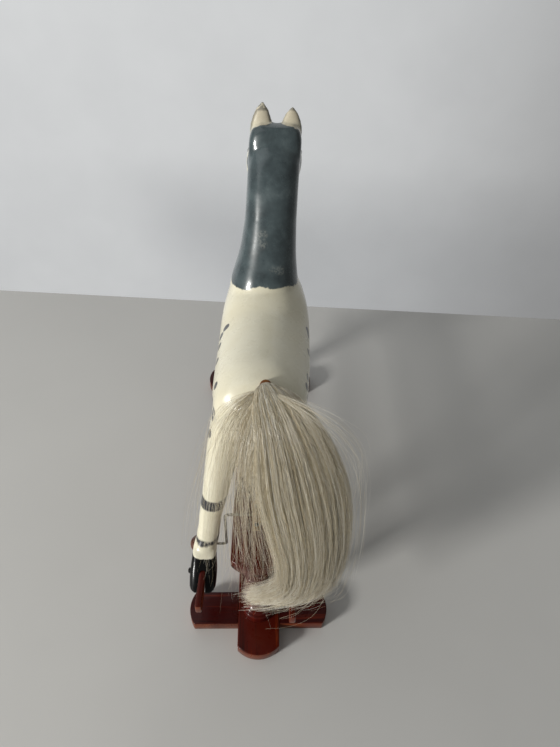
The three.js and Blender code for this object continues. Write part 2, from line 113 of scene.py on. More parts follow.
# Camera of the photo
LENS = 29.157
CAMERA_AT = (-0.98, -315.7, 471.0)
CAMERA_YAW = 0.0494
CAMERA_PITCH = 0.8029
CAMERA_ROLL = 0.0435


# Curves and lofts

def spline(knots, count):
    """Points on a centripetal Catmull-Rom curve through the knots, count of them to a gap."""
    knots = np.asarray(knots, float)
    wide = np.vstack([2 * knots[0] - knots[1], knots, 2 * knots[-1] - knots[-2]])
    share = np.linspace(0, 1, count, endpoint=False)[:, None]
    parts = []
    for p0, p1, p2, p3 in zip(wide, wide[1:], wide[2:], wide[3:]):
        d0, d1, d2 = (
            max(np.linalg.norm(b - a) ** 0.5, 1e-3) for a, b in ((p0, p1), (p1, p2), (p2, p3))
        )
        m1 = ((p1 - p0) / d0 - (p2 - p0) / (d0 + d1) + (p2 - p1) / d1) * d1
        m2 = ((p2 - p1) / d1 - (p3 - p1) / (d1 + d2) + (p3 - p2) / d2) * d1
        s2, s3 = share**2, share**3
        parts.append(
            (2 * s3 - 3 * s2 + 1) * p1 + (s3 - 2 * s2 + share) * m1
            + (3 * s2 - 2 * s3) * p2 + (s3 - s2) * m2
        )
    return np.vstack(parts + [knots[-1:]])


def unit(v):
    return v / np.maximum(np.linalg.norm(v, axis=-1, keepdims=True), 1e-9)


def fan_faces(ring, centre, flip):
    """Triangles from a ring of corner numbers to a middle point."""
    return [(centre, b, a) if flip else (centre, a, b) for a, b in zip(ring, ring[1:] + ring[:1])]


def skin(rings):
    """A closed skin over rings of equal length, as points and faces."""
    rings = np.asarray(rings, float)
    count, sides, _ = rings.shape
    points = np.vstack([rings.reshape(-1, 3), rings[0].mean(0), rings[-1].mean(0)])
    faces = []
    for ring in range(count - 1):
        for i in range(sides):
            a, b = ring * sides + i, ring * sides + (i + 1) % sides
            faces.append((a, b, b + sides, a + sides))
    last = (count - 1) * sides
    faces += fan_faces(list(range(sides)), count * sides, True)
    faces += fan_faces(list(range(last, last + sides)), count * sides + 1, False)
    return points, faces


def loft(stations, rings=8, sides=40, level=False):
    """A smooth form through stations [x, y, z, wide, deep, fullness]."""
    rows = np.array([list(s) + [2.0] * (6 - len(s)) for s in stations], float)
    line, size = spline(rows[:, :3], rings), spline(rows[:, 3:], rings)
    along = unit(np.gradient(line, axis=0))
    if level:
        along[:] = (0, 0, 1)
    side = unit(np.array([1.0, 0, 0]) - along * along[:, :1])
    up = np.cross(along, side)
    turn = np.linspace(0, 2 * np.pi, sides, endpoint=False)
    bend = 2 / size[:, 2:3]
    c, s = np.cos(turn)[None], np.sin(turn)[None]
    across = size[:, 0:1] * np.sign(c) * np.abs(c) ** bend
    high = size[:, 1:2] * np.sign(s) * np.abs(s) ** bend
    return skin(line[:, None] + across[..., None] * side[:, None] + high[..., None] * up[:, None])


def ball(centre, size, turn=0.0):
    """An ellipsoid that is turned about X."""
    knots = np.linspace(0, np.pi, 13)[1:-1]
    rings = []
    for a in knots:
        t = np.linspace(0, 2 * np.pi, 24, endpoint=False)
        rings.append(np.stack([np.sin(a) * np.cos(t), np.sin(a) * np.sin(t), np.full(24, np.cos(a))], 1))
    points = np.array(rings) * size
    c, s = math.cos(turn), math.sin(turn)
    y, z = points[..., 1].copy(), points[..., 2].copy()
    points[..., 1], points[..., 2] = y * c - z * s, y * s + z * c
    return skin(points + centre)


def lathe(profile, sides):
    """A turned piece round +Z from [radius, height] pairs that start and end on the axis."""
    rows = np.array(profile, float)
    turn = np.linspace(0, 2 * np.pi, sides, endpoint=False)
    rings = [
        np.stack([r * np.cos(turn), r * np.sin(turn), np.full(sides, h)], 1)
        for r, h in rows
        if r > 1e-6
    ]
    points, faces = skin(rings)
    points[-2:, 2] = rows[0, 1], rows[-1, 1]
    return points, faces


def cylinder(radius, half, sides):
    """A round pin along Z, half its length to each side of 0."""
    return lathe([[0, -half], [radius, -half], [radius, half], [0, half]], sides)


def fillet(corner, before, after, radius, steps=4):
    """Points of a rounded profile corner."""
    c, a, b = (np.array(v, float) for v in (corner, before, after))
    start, end = c + unit(a - c) * radius, c + unit(b - c) * radius
    t = np.linspace(0, 1, steps + 1)[:, None]
    return ((1 - t) ** 2 * start + 2 * t * (1 - t) * c + t**2 * end).tolist()


# Places of the horse's own frame, and of the rails

def lean_and_turn(points):
    """From the horse's own frame to the stand's."""
    p = np.array(points, float)
    p[..., 0] += HORSE_LEAN * np.maximum(0, p[..., 2] - LEAN_FROM)
    return askew(p)


def askew(points):
    c, s = math.cos(HORSE_YAW), math.sin(HORSE_YAW)
    x, y = points[..., 0], points[..., 1]
    return np.stack([x * c - y * s + HORSE_X, x * s + y * c, points[..., 2]], -1)


def rail_across(side, along):
    return LEFT_SPLAY * along - RAIL_SPREAD if side < 0 else RAIL_SPREAD


def rail_crossing(side, y):
    """Along and across the horse, and x of the stand, where a rail crosses Y = y."""
    splay = LEFT_SPLAY if side < 0 else 0
    sin, cos = math.sin(HORSE_YAW), math.cos(HORSE_YAW)
    along = (y - side * RAIL_SPREAD * sin) / (cos + splay * sin)
    across = rail_across(side, along)
    return along, across, HORSE_X + across * cos - along * sin


def bolt_seat(side, end):
    return rail_across(side, end * BOLT_Y) + side * (HOOF_HALF_WIDTH - 1)


# Meshes

def new_object(name, points, faces):
    """A mesh object from points in millimetres."""
    mesh = bpy.data.meshes.new(name)
    mesh.from_pydata((np.asarray(points) * MM).tolist(), [], [tuple(map(int, f)) for f in faces])
    obj = bpy.data.objects.new(name, mesh)
    bpy.context.scene.collection.objects.link(obj)
    outward(obj)
    return obj


def outward(obj):
    """Makes the faces of closed shells look outward."""
    bm = bmesh.new()
    bm.from_mesh(obj.data)
    bmesh.ops.recalc_face_normals(bm, faces=bm.faces)
    bm.to_mesh(obj.data)
    bm.free()


def merged(forms):
    """Several point and face pairs as one pair."""
    points, faces, start = [], [], 0
    for form_points, form_faces in forms:
        points.append(form_points)
        faces += [tuple(i + start for i in face) for face in form_faces]
        start += len(form_points)
    return np.vstack(points), faces


def settle(obj):
    """Keeps what the modifiers make and drops the modifiers."""
    graph = bpy.context.evaluated_depsgraph_get()
    mesh = bpy.data.meshes.new_from_object(obj.evaluated_get(graph))
    obj.modifiers.clear()
    obj.data = mesh
    return obj


def carve(obj, cutters):
    """Cuts closed forms out of an object."""
    tool = new_object("cutter", *merged(cutters))
    change = obj.modifiers.new("cut", "BOOLEAN")
    change.operation = "DIFFERENCE"
    change.solver = "EXACT"
    change.use_self = len(cutters) > 1
    change.object = tool
    settle(obj)
    bpy.data.objects.remove(tool)
    return obj


def soften(obj, width, angle=30, segments=3):
    """Rounds the sharp edges of an object; width is in millimetres."""
    bm = bmesh.new()
    bm.from_mesh(obj.data)
    bmesh.ops.remove_doubles(bm, verts=bm.verts, dist=1e-6)
    sharp = [e for e in bm.edges if len(e.link_faces) == 2 and e.calc_face_angle(0) > math.radians(angle)]
    bmesh.ops.bevel(
        bm, geom=sharp, offset=width * MM, segments=segments, profile=0.5, affect="EDGES", clamp_overlap=True
    )
    bm.to_mesh(obj.data)
    bm.free()
    return obj


def move(obj, matrix):
    obj.data.transform(matrix)
    obj.data.update()
    return obj


def shifted(obj, x, y, z, turn=0.0):
    """Places a mesh, in millimetres, after a turn about Z."""
    return move(obj, Matrix.Translation(Vector((x, y, z)) * MM) @ Matrix.Rotation(turn, 4, "Z"))


def shade(obj, angle=35):
    obj.data.shade_smooth()
    obj.data.set_sharp_from_angle(angle=math.radians(angle))


def dress(obj, paint, body, nodes, angle=35):
    """Gives a finished piece its material and its place in the frame."""
    shade(obj, angle)
    obj.data.materials.clear()
    obj.data.materials.append(paint)
    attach(obj, body)
    if nodes:
        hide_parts(*nodes)
    return obj


# Materials

def linear(r, g, b):
    """A colour as it looks on a screen, 0 to 255, as linear light with alpha."""
    light = [(v / 255 / 12.92) if v < 10.3 else ((v / 255 + 0.055) / 1.055) ** 2.4 for v in (r, g, b)]
    return (*light, 1.0)


# Dark, middle and light tones of the woods, and what shows where the stain is worn
RED_WOOD = [(30, 10, 7), (78, 18, 7), (150, 62, 25)]
OXBLOOD_WOOD = [(24, 7, 6), (54, 11, 9), (98, 32, 17)]
PILLAR_WOOD = [(34, 8, 6), (70, 15, 10), (112, 36, 16)]
CAP_WOOD = [(48, 26, 22), (96, 58, 46), (132, 88, 70)]
PLUG_WOOD = [(62, 34, 18), (112, 70, 38), (156, 108, 60)]
BARE_RED = linear(146, 74, 34)
BARE_CAP = linear(158, 108, 82)
BARE_PLUG = linear(182, 134, 80)

# Paint and hair; a list is a ramp of places and tones
CREAM = [(0.3, linear(230, 223, 196)), (0.55, linear(236, 231, 208)), (0.75, linear(222, 214, 186))]
SLATE = [(0.3, linear(58, 68, 71)), (0.55, linear(76, 88, 91)), (0.75, linear(96, 108, 110))]
HAIR = [(0.0, linear(192, 176, 142)), (0.4, linear(228, 217, 190)), (0.85, linear(252, 248, 236))]
HAIR_DUST = linear(204, 190, 156)
GRIME = linear(190, 176, 140)
EAR_BLUSH = linear(150, 118, 88)
EAR_RIM = linear(70, 72, 72)
SCUFFED = linear(150, 152, 146)
BAND_INK = linear(28, 33, 42)
SPOT_INK = linear(34, 40, 52)
HOOF_BLACK = linear(11, 11, 12)
LIP_RED = linear(140, 44, 38)
EYE_BLACK = linear(14, 12, 12)

# Brass, blackened steel and plain iron, clean and dull
BRASS = (linear(196, 158, 92), linear(122, 92, 52))
DARK_STEEL = (linear(48, 47, 46), linear(24, 23, 23))
IRON = (linear(150, 148, 144), linear(96, 90, 84))

# Table and wall
TABLE_TONES = (linear(207, 206, 203), linear(211, 210, 207))
WALL_TONES = (linear(220, 222, 224), linear(224, 226, 228))
# Painted shadow that darkens the wall towards the right
WALL_SHADE = linear(120, 118, 116)


class Finish:
    """A material on a Principled shader, with short ways to add textures."""

    def __init__(self, name, **sockets):
        self.material = bpy.data.materials.new(name)
        self.material.use_nodes = True
        self.tree = self.material.node_tree
        self.shader = self.tree.nodes["Principled BSDF"]
        self.set(**sockets)

    def set(self, **sockets):
        for key, value in sockets.items():
            self.feed(self.shader.inputs[key.replace("_", " ")], value)

    def feed(self, socket, value):
        if isinstance(value, bpy.types.NodeSocket):
            self.tree.links.new(value, socket)
        else:
            socket.default_value = value

    def add(self, kind, *values, **settings):
        """A node with its inputs fed in order; None leaves one as it is."""
        node = self.tree.nodes.new(kind)
        for key, value in settings.items():
            setattr(node, key, value)
        for socket, value in zip(node.inputs, values):
            if value is not None:
                self.feed(socket, value)
        return node

    def place(self, scale=(1, 1, 1)):
        """Object coordinates, stretched."""
        coords = self.add("ShaderNodeTexCoord").outputs["Object"]
        mapping = self.add("ShaderNodeMapping", coords)
        mapping.inputs["Scale"].default_value = scale
        return mapping.outputs[0]

    def noise(self, scale, detail=3, rough=0.55, stretch=(1, 1, 1), twist=0.0):
        node = self.add("ShaderNodeTexNoise")
        self.feed(node.inputs["Vector"], self.place(stretch))
        for key, value in (("Scale", scale), ("Detail", detail), ("Roughness", rough), ("Distortion", twist)):
            node.inputs[key].default_value = value
        return node.outputs[0]

    def attribute(self, name):
        return self.add("ShaderNodeAttribute", attribute_name=name).outputs["Fac"]

    def step(self, value, low, high, out_low=0.0, out_high=1.0):
        """A smooth step of a value from low to high."""
        node = self.add("ShaderNodeMapRange", value, low, high, out_low, out_high)
        node.interpolation_type = "SMOOTHSTEP"
        return node.outputs[0]

    def math(self, operation, a, b=None):
        return self.add("ShaderNodeMath", a, b, operation=operation).outputs[0]

    def mix(self, share, a, b, blend="MIX"):
        node = self.add("ShaderNodeMix", data_type="RGBA", blend_type=blend)
        for index, value in ((0, share), (6, a), (7, b)):
            self.feed(node.inputs[index], value)
        return node.outputs[2]

    def ramp(self, value, *stops):
        node = self.add("ShaderNodeValToRGB", value)
        marks = node.color_ramp.elements
        while len(marks) < len(stops):
            marks.new(0.5)
        for mark, (at, colour) in zip(marks, stops):
            mark.position = at
            mark.color = colour
        return node.outputs[0]

    def bump(self, height, strength, distance, normal=None):
        node = self.add("ShaderNodeBump")
        node.inputs["Strength"].default_value = strength
        node.inputs["Distance"].default_value = distance * MM
        self.feed(node.inputs["Height"], height)
        if normal is not None:
            self.feed(node.inputs["Normal"], normal)
        return node.outputs[0]

    def edges(self, radius):
        """Near 1 on sharp edges."""
        bevel = self.add("ShaderNodeBevel", samples=4)
        bevel.inputs["Radius"].default_value = radius * MM
        flat = self.add("ShaderNodeNewGeometry").outputs["Normal"]
        dot = self.add("ShaderNodeVectorMath", bevel.outputs[0], flat, operation="DOT_PRODUCT")
        return self.step(dot.outputs["Value"], 0.99, 0.8)


def mahogany(name, grain, tones, worn, wear=0.6, raw=0.0):
    """Stained and varnished wood whose grain runs along axis 0, 1 or 2."""
    dark, mid, light = (linear(*tone) for tone in tones)
    f = Finish(name, Specular_IOR_Level=0.16, Coat_Weight=0.2, Coat_Roughness=0.06)
    drawn_out = [[share if axis == grain else 1 for axis in range(3)] for share in (0.045, 0.3, 0.06)]
    streak = f.noise(240, 5, 0.62, drawn_out[0], 0.4)
    broad = f.noise(28, 3, 0.5, drawn_out[1])
    both = f.math("ADD", f.math("MULTIPLY", streak, 0.75), f.math("MULTIPLY", broad, 0.35))
    colour = f.ramp(both, (0.36, dark), (0.5, mid), (0.62, mid), (0.74, light))
    pores = f.step(f.noise(1500, 2, 0.5, drawn_out[2]), 0.62, 0.72)
    colour = f.mix(f.math("MULTIPLY", pores, 0.55), colour, dark)
    if raw:
        normal = f.add("ShaderNodeNewGeometry").outputs["Normal"]
        rise = f.math("ABSOLUTE", f.add("ShaderNodeSeparateXYZ", normal).outputs["Z"])
        side = f.math("MULTIPLY", f.step(rise, 0.6, 0.2), f.step(f.noise(70, 4, 0.6), 0.35, 0.6, 0.2, raw))
        colour = f.mix(side, colour, worn)
    chip = f.step(f.noise(160, 4, 0.7), 0.42, 0.62)
    edge = f.math("MULTIPLY", f.edges(0.9), f.math("MULTIPLY", chip, wear))
    colour = f.mix(edge, colour, worn)
    rough = f.step(f.noise(60, 4, 0.6), 0.3, 0.7, 0.24, 0.42)
    wave = f.bump(f.noise(55, 2, 0.5), 0.25, 0.6)
    f.set(Base_Color=colour, Roughness=rough, Normal=f.bump(pores, 0.25, -0.12, wave), Coat_Normal=wave)
    return f.material


def metal(name, tones, rough, grain=(1, 1, 1), metallic=1.0):
    """Worn metal with tarnish and fine scratches."""
    f = Finish(name, Metallic=metallic)
    tarnish = f.step(f.noise(420, 4, 0.65), 0.35, 0.65)
    scratch = f.noise(2600, 2, 0.5, grain)
    f.set(
        Base_Color=f.mix(tarnish, *tones),
        Roughness=f.step(f.noise(700, 3), 0.3, 0.7, rough - 0.1, rough + 0.15),
        Normal=f.bump(scratch, 0.2, 0.05),
    )
    return f.material


def painted_horse():
    """Glossy cream with the painted places taken from the mesh's distance attributes."""
    f = Finish("painted_horse", Specular_IOR_Level=0.5, Coat_Weight=0.6, Coat_Roughness=0.07)
    drift = f.noise(22, 3, 0.55)
    cream = f.ramp(drift, *CREAM)
    grime = f.step(f.noise(130, 4, 0.7), 0.52, 0.8)
    cream = f.mix(f.math("MULTIPLY", grime, 0.18), cream, GRIME)
    hairs = f.noise(420, 3, 0.6)
    ragged = f.math("MULTIPLY", f.math("SUBTRACT", hairs, 0.5), 2.4)
    soft = f.math("MULTIPLY", f.math("SUBTRACT", f.noise(150, 3, 0.6), 0.5), 3.0)

    def area(name, wobble, width):
        return f.step(f.math("ADD", f.attribute(name), wobble), -width, width)

    blush = f.math("MULTIPLY", area("blush", soft, 2.5), 0.3)
    colour = f.mix(blush, cream, EAR_BLUSH)
    slate = f.ramp(f.noise(90, 4, 0.6), *SLATE)
    scuff = f.math("MULTIPLY", area("scuff", soft, 1.2), f.step(f.noise(700, 3, 0.7), 0.42, 0.62))
    slate = f.mix(f.math("MULTIPLY", scuff, 0.45), slate, SCUFFED)
    colour = f.mix(area("mane", ragged, 0.5), colour, slate)
    colour = f.mix(f.math("MULTIPLY", area("rim", soft, 0.8), 0.6), colour, EAR_RIM)
    strokes = f.step(f.noise(330, 3, 0.6, (1, 1, 0.5)), 0.3, 0.44, 0.5, 1.0)
    band = f.math("MULTIPLY", area("band", ragged, 0.9), strokes)
    colour = f.mix(band, colour, BAND_INK)
    spot = f.math("MULTIPLY", area("spot", f.math("MULTIPLY", ragged, 0.45), 0.35), 0.94)
    colour = f.mix(spot, colour, SPOT_INK)
    black = area("hoof", f.math("MULTIPLY", ragged, 0.4), 0.3)
    colour = f.mix(black, colour, HOOF_BLACK)
    colour = f.mix(area("red", ragged, 0.4), colour, LIP_RED)
    colour = f.mix(area("eye", 0.0, 0.25), colour, EYE_BLACK)
    rough = f.step(f.noise(70, 4, 0.6), 0.3, 0.7, 0.22, 0.38)
    brush = f.bump(f.noise(300, 2, 0.5, (1, 1, 0.35)), 0.12, 0.12)
    wave = f.bump(f.noise(52, 3, 0.5), 0.3, 0.8, brush)
    f.set(
        Base_Color=colour,
        Roughness=rough,
        Normal=wave,
        Coat_Normal=wave,
        Coat_Weight=f.step(black, 0.0, 1.0, 0.5, 0.16),
        Specular_IOR_Level=f.step(black, 0.0, 1.0, 0.5, 0.12),
    )
    return f.material


def horsehair():
    """Cream hair whose tone changes from strand to strand."""
    f = Finish("horsehair", Specular_IOR_Level=0.45, Sheen_Weight=0.15, Sheen_Roughness=0.4)
    colour = f.ramp(f.attribute("tone"), *HAIR)
    along = f.math("MULTIPLY", f.step(f.noise(180, 3, 0.6), 0.35, 0.75), 0.14)
    f.set(
        Base_Color=f.mix(along, colour, HAIR_DUST),
        Roughness=f.step(f.noise(300, 2), 0.3, 0.7, 0.26, 0.4),
        Normal=f.bump(f.noise(3000, 1), 0.1, 0.02),
    )
    return f.material


wood_along = mahogany("mahogany_along", 1, RED_WOOD, BARE_RED, 0.6, 0.45)
bar_wood = mahogany("bar_mahogany", 1, RED_WOOD, BARE_RED, 0.35)
wood_across = mahogany("mahogany_across", 0, OXBLOOD_WOOD, BARE_RED, 0.5, 0.5)
wood_upright = mahogany("mahogany_upright", 2, PILLAR_WOOD, BARE_RED, 0.3)
brass = metal("dull_brass", BRASS, 0.38, (1, 0.05, 1))
dark_steel = metal("dark_steel", DARK_STEEL, 0.42, metallic=0.8)
iron = metal("iron_rod", IRON, 0.36, (1, 1, 0.05))
cap_brown = mahogany("cap_brown", 0, CAP_WOOD, BARE_CAP, 0.35)
plug_brown = mahogany("plug_brown", 2, PLUG_WOOD, BARE_PLUG, 0.4)
horse_paint = painted_horse()
hair_paint = horsehair()


# Stand

BOARD_EDGE = 0.7
RAIL_EDGE = 0.9
STRAP_EDGE = 0.18
SCREW_RIM, SCREW_DOME = 1.0, 0.85
BOLT_RIM, BOLT_DOME = 1.3, 1.2
SCREW_SLOT, BOLT_SLOT = 0.42, 0.5
SLOT_DEPTH = 0.5

# Inset from the pillar's radius, and height
BULB = [[3.2, 12.3], [5, 14.6], [3.2, 22], [0.6, 33], [1.8, 45], [4.6, 56], [3.4, 58.9]]

# Share of the cap's radius, and height
CAP_CURVE = [[1, 3.2], [0.97, 4.6], [0.85, 6.3], [0.52, 8.7], [0.2, CAP_LENGTH - 0.08]]


def board_outline(length, width, end_rise, steps=36):
    """A board seen from above, with a shallow arc at each end."""
    radius = ((width / 2) ** 2 + end_rise**2) / (2 * end_rise)
    half = math.asin(width / 2 / radius)
    angles = np.linspace(math.pi / 2 - half, math.pi / 2 + half, steps + 1)
    front = np.stack([radius * np.cos(angles), length / 2 - radius + radius * np.sin(angles)], 1)
    return np.vstack([front, -front])


def prism(outline, low, high):
    """A flat outline raised from z = low to z = high."""
    count = len(outline)
    flat = np.asarray(outline, float)
    points = np.vstack([np.column_stack([flat, np.full(count, z)]) for z in (low, high)])
    faces = [(i, (i + 1) % count, count + (i + 1) % count, count + i) for i in range(count)]
    return points, faces + [tuple(range(count))[::-1], tuple(range(count, 2 * count))]


def brick(width, depth, height, x, y, z):
    w, d = width / 2, depth / 2
    corners = [(x - w, y - d), (x + w, y - d), (x + w, y + d), (x - w, y + d)]
    return prism(corners, z - height / 2, z + height / 2)


def board(name, length, width, thick, end_rise, notches=()):
    obj = new_object(name, *prism(board_outline(length, width, end_rise), 0, thick))
    if notches:
        carve(obj, list(notches))
    return soften(obj, BOARD_EDGE)


def base_beam():
    lap = BOARD_THICK / 2 + GAP
    notches = [brick(BEAM_WIDTH + 2, CROSS_DEPTH + 2 * GAP, lap * 2, 0, y, 0) for y in (-CROSS_Y, CROSS_Y)]
    return board("stand_beam", STAND_LENGTH, BEAM_WIDTH, BOARD_THICK, BEAM_END_RISE, notches)


def cross_piece(end):
    obj = board(f"{end}_cross_board", CROSS_LENGTH, CROSS_DEPTH, BOARD_THICK, CROSS_END_RISE)
    move(obj, Matrix.Rotation(math.pi / 2, 4, "Z"))
    carve(obj, [brick(BEAM_WIDTH + 2 * GAP, CROSS_DEPTH + 2, BOARD_THICK, 0, 0, BOARD_THICK)])
    return shifted(obj, 0, ENDS[end] * CROSS_Y, 0)


def bead_profile(at, radius, size=2.0):
    angles = np.linspace(-math.pi / 2, math.pi / 2, 9)
    return [[radius - size + size * math.cos(a), at + size * math.sin(a)] for a in angles]


def pillar(end):
    r = PILLAR_RADIUS
    height = BAR_TOP - BAR_THICK - BOARD_THICK - 2 * GAP
    bulb = spline([[r - inset, rise] for inset, rise in BULB], 6)
    profile = [[0, 0]]
    profile += fillet([r, 0], [0, 0], [r, 7], 0.6)
    profile += fillet([r, 7], [r, 0], [r - 3, 7.6], 0.8)
    profile += [[r - 3.1, 7.7]]
    profile += bead_profile(10, r - 1.2)
    profile += bulb.tolist()
    profile += bead_profile(61, r - 1.2)
    profile += [[r - 3.1, 63.4], [r - 2.8, 64.6]]
    profile += fillet([r, 67], [r - 2.8, 64.6], [r, 75], 0.9)
    profile += fillet([r, height], [r, 66], [0, height], 0.6)
    profile += [[0, height]]
    obj = new_object(f"{end}_turned_pillar", *lathe(profile, 72))
    return shifted(obj, 0, ENDS[end] * CROSS_Y, BOARD_THICK + GAP)


def tube(path, radius, sides=14):
    """A closed round rod along a path."""
    path = np.asarray(path, float)
    along = unit(np.gradient(path, axis=0))
    across = np.tile(np.array([0.0, 1.0, 0.0]), (len(path), 1))
    up = unit(np.cross(along, across))
    turn = np.linspace(0, 2 * np.pi, sides, endpoint=False)
    ring = np.cos(turn)[None, :, None] * across[:, None] + np.sin(turn)[None, :, None] * up[:, None]
    return skin(path[:, None] + radius * ring)


def swing_iron(end):
    y = ENDS[end] * SWING_Y
    left, right = IRON_X[end] - IRON_HALF_SPAN, IRON_X[end] + IRON_HALF_SPAN
    pins = [rail_crossing(s, y)[2] + s * (RAIL_THICK / 2 + CAP_SOCKET) for s in (-1, 1)]
    corners = [
        (pins[0], SWING_LOW), (left, SWING_LOW), (left, SWING_TOP),
        (right, SWING_TOP), (right, SWING_LOW), (pins[1], SWING_LOW),
    ]
    corners = np.array([(x, y, z) for x, z in corners], float)
    path = [corners[0]]
    for before, corner, after in zip(corners, corners[1:], corners[2:]):
        start = corner + unit(before - corner) * IRON_BEND
        finish = corner + unit(after - corner) * IRON_BEND
        t = np.linspace(0, 1, 9)[:, None]
        path += list((1 - t) ** 2 * start + 2 * t * (1 - t) * corner + t**2 * finish)
    path.append(corners[-1])
    return new_object(f"{end}_bent_iron", *tube(path, IRON_RADIUS))


def strap(end):
    inside = IRON_RADIUS + GAP
    outside = inside + STRAP_THICK
    foot, top, reach = BAR_TOP + GAP, SWING_TOP, STRAP_HALF_LENGTH
    over = np.linspace(math.pi, 0, 17)
    inner = [(inside * math.cos(a), top + inside * math.sin(a)) for a in over]
    outer = [(outside * math.cos(a), top + outside * math.sin(a)) for a in over[::-1]]
    roof = foot + STRAP_THICK
    outline = [(-reach, foot), (-inside, foot), *inner, (inside, foot), (reach, foot), (reach, roof)]
    outline += [(outside, roof), *outer, (-outside, roof), (-reach, roof)]
    points, faces = prism(outline, -STRAP_WIDTH / 2, STRAP_WIDTH / 2)
    points = points[:, [2, 0, 1]]
    obj = new_object(f"{end}_brass_strap", points, faces)
    holes = []
    for dy in (-STRAP_SCREW_Y, STRAP_SCREW_Y):
        hole, faces = cylinder(SCREW_RADIUS + GAP / 2, 3, 28)
        holes.append((hole + np.array([0, dy, foot]), faces))
    carve(obj, holes)
    soften(obj, STRAP_EDGE, 40, 2)
    y = ENDS[end] * SWING_Y
    return shifted(obj, -y * math.tan(BAR_YAW), y, 0)


def slotted_head(name, radius, rim, rise, slot, sides):
    """A domed head on Z = 0 with a sawn slot."""
    angles = np.linspace(0, math.pi / 2, sides // 4)[:-1]
    dome = [[radius * math.cos(a), rim + rise * math.sin(a)] for a in angles]
    obj = new_object(name, *lathe([[0, 0], [radius, 0], *dome, [0, rim + rise]], sides))
    return carve(obj, [brick(slot, 2 * radius + 2, 2 * SLOT_DEPTH, 0, 0, rim + rise)])


def strap_screw(end, place):
    obj = slotted_head(f"{end}_{place}_screw", SCREW_RADIUS, SCREW_RIM, SCREW_DOME, SCREW_SLOT, 32)
    y = ENDS[end] * SWING_Y
    step = STRAP_SCREW_Y * (1 if place == "outer" else -1) * ENDS[end]
    turn = 0.5 if place == "outer" else 1.3
    return shifted(obj, -y * math.tan(BAR_YAW), y + step, BAR_TOP + GAP, turn)


def iron_cap(end, hand):
    side = SIDES[hand]
    r = CAP_RADIUS
    socket = IRON_RADIUS + 0.2
    curve = spline([[r * share, rise] for share, rise in CAP_CURVE], 4)
    profile = [[0, CAP_SOCKET], [socket, CAP_SOCKET], [socket, 0]]
    profile += fillet([r * 0.8, 0], [socket, 0], [r, 1.4], 0.4)
    profile += fillet([r, 1.4], [r * 0.8, 0], [r, 3.4], 0.5)
    profile += curve.tolist() + [[0, CAP_LENGTH]]
    obj = new_object(f"{end}_{hand}_cap", *lathe(profile, 56))
    y = ENDS[end] * SWING_Y
    x = rail_crossing(side, y)[2] + side * (RAIL_THICK / 2 + 2 * GAP)
    turn = Matrix.Rotation(side * math.pi / 2, 4, "Y")
    return move(obj, Matrix.Translation(Vector((x, y, SWING_LOW)) * MM) @ turn)


def hoof_bolt(end, hand):
    side = SIDES[hand]
    obj = slotted_head(f"{end}_{hand}_bolt", BOLT_RADIUS, BOLT_RIM, BOLT_DOME, BOLT_SLOT, 36)
    at = askew(np.array([bolt_seat(side, ENDS[end]), ENDS[end] * BOLT_Y, SWING_LOW]))
    turn = Matrix.Rotation(HORSE_YAW, 4, "Z") @ Matrix.Rotation(side * math.pi / 2, 4, "Y")
    return move(obj, Matrix.Translation(Vector(at) * MM) @ turn)


def rail(hand):
    side = SIDES[hand]
    slip = -RIGHT_RAIL_SLIP if side > 0 else 0
    points, faces = brick(RAIL_THICK, RAIL_LENGTH, RAIL_HEIGHT, side * RAIL_SPREAD, slip, SWING_LOW)
    points[:, 0] += (LEFT_SPLAY if side < 0 else 0) * points[:, 1]
    obj = soften(new_object(f"{hand}_foot_rail", points, faces), RAIL_EDGE)
    bores = []
    for y in (-SWING_Y, SWING_Y):
        along, across, _ = rail_crossing(side, y)
        bore, bore_faces = cylinder(RAIL_BORE, 8, 32)
        bores.append((bore[:, [2, 0, 1]] + np.array([across, along, SWING_LOW]), bore_faces))
    carve(obj, bores)
    return move(obj, Matrix.Translation((HORSE_X * MM, 0, 0)) @ Matrix.Rotation(HORSE_YAW, 4, "Z"))


def build_stand():
    dress(base_beam(), wood_along, "stand", ["base_beam"])
    bar = board("stand_top_bar", BAR_LENGTH, BAR_WIDTH, BAR_THICK, BAR_END_RISE)
    bar = shifted(bar, 0, 0, BAR_TOP - BAR_THICK, BAR_YAW)
    dress(bar, bar_wood, "stand", ["top_bar"])
    for end in ENDS:
        dress(cross_piece(end), wood_across, "stand", [f"{end}_cross_piece"])
        dress(pillar(end), wood_upright, "stand", [f"{end}_pillar"])
        dress(strap(end), brass, "stand", [f"{end}_strap"], 30)
        for place in ("inner", "outer"):
            screw = strap_screw(end, place)
            dress(screw, dark_steel, "stand", [f"{end}_strap_screw_{place}"])
        dress(swing_iron(end), iron, f"{end}_iron", [f"{end}_swing_iron"], 60)
        for hand in SIDES:
            cap = iron_cap(end, hand)
            dress(cap, cap_brown, f"{end}_iron", [f"{end}_{hand}_iron_cap"])
            bolt = hoof_bolt(end, hand)
            dress(bolt, dark_steel, "horse", [f"{end}_{hand}_hoof_bolt"])
    for hand in SIDES:
        dress(rail(hand), wood_along, "horse", [f"{hand}_rail"])
    return bar


# Horse

def barrel():
    w = BODY_HALF_WIDTH
    return loft([
        [0, -79, 179, w * 0.16, 5, 2],
        [0, -76, 179, w * 0.55, 15, 2.1],
        [0, -68, 177, w * 0.9, 24, 2.2],
        [0, -50, 174.5, w, 29, 2.2],
        [0.6, -22, BODY_MIDDLE, w * 1.03, BACK - BODY_MIDDLE, 2.2],
        [0.7, 6, BODY_MIDDLE, w * 1.03, BACK - BODY_MIDDLE, 2.2],
        [0.3, 30, 176, w, 31, 2.2],
        [-0.6, 50, 179, w * 0.9, 31, 2.1],
        [-1, 65, 180, w * 0.68, 23, 2.1],
        [0, 72, 180, w * 0.38, 12, 2],
        [0, 74, 180, w * 0.1, 4, 2],
    ], 6, 64)


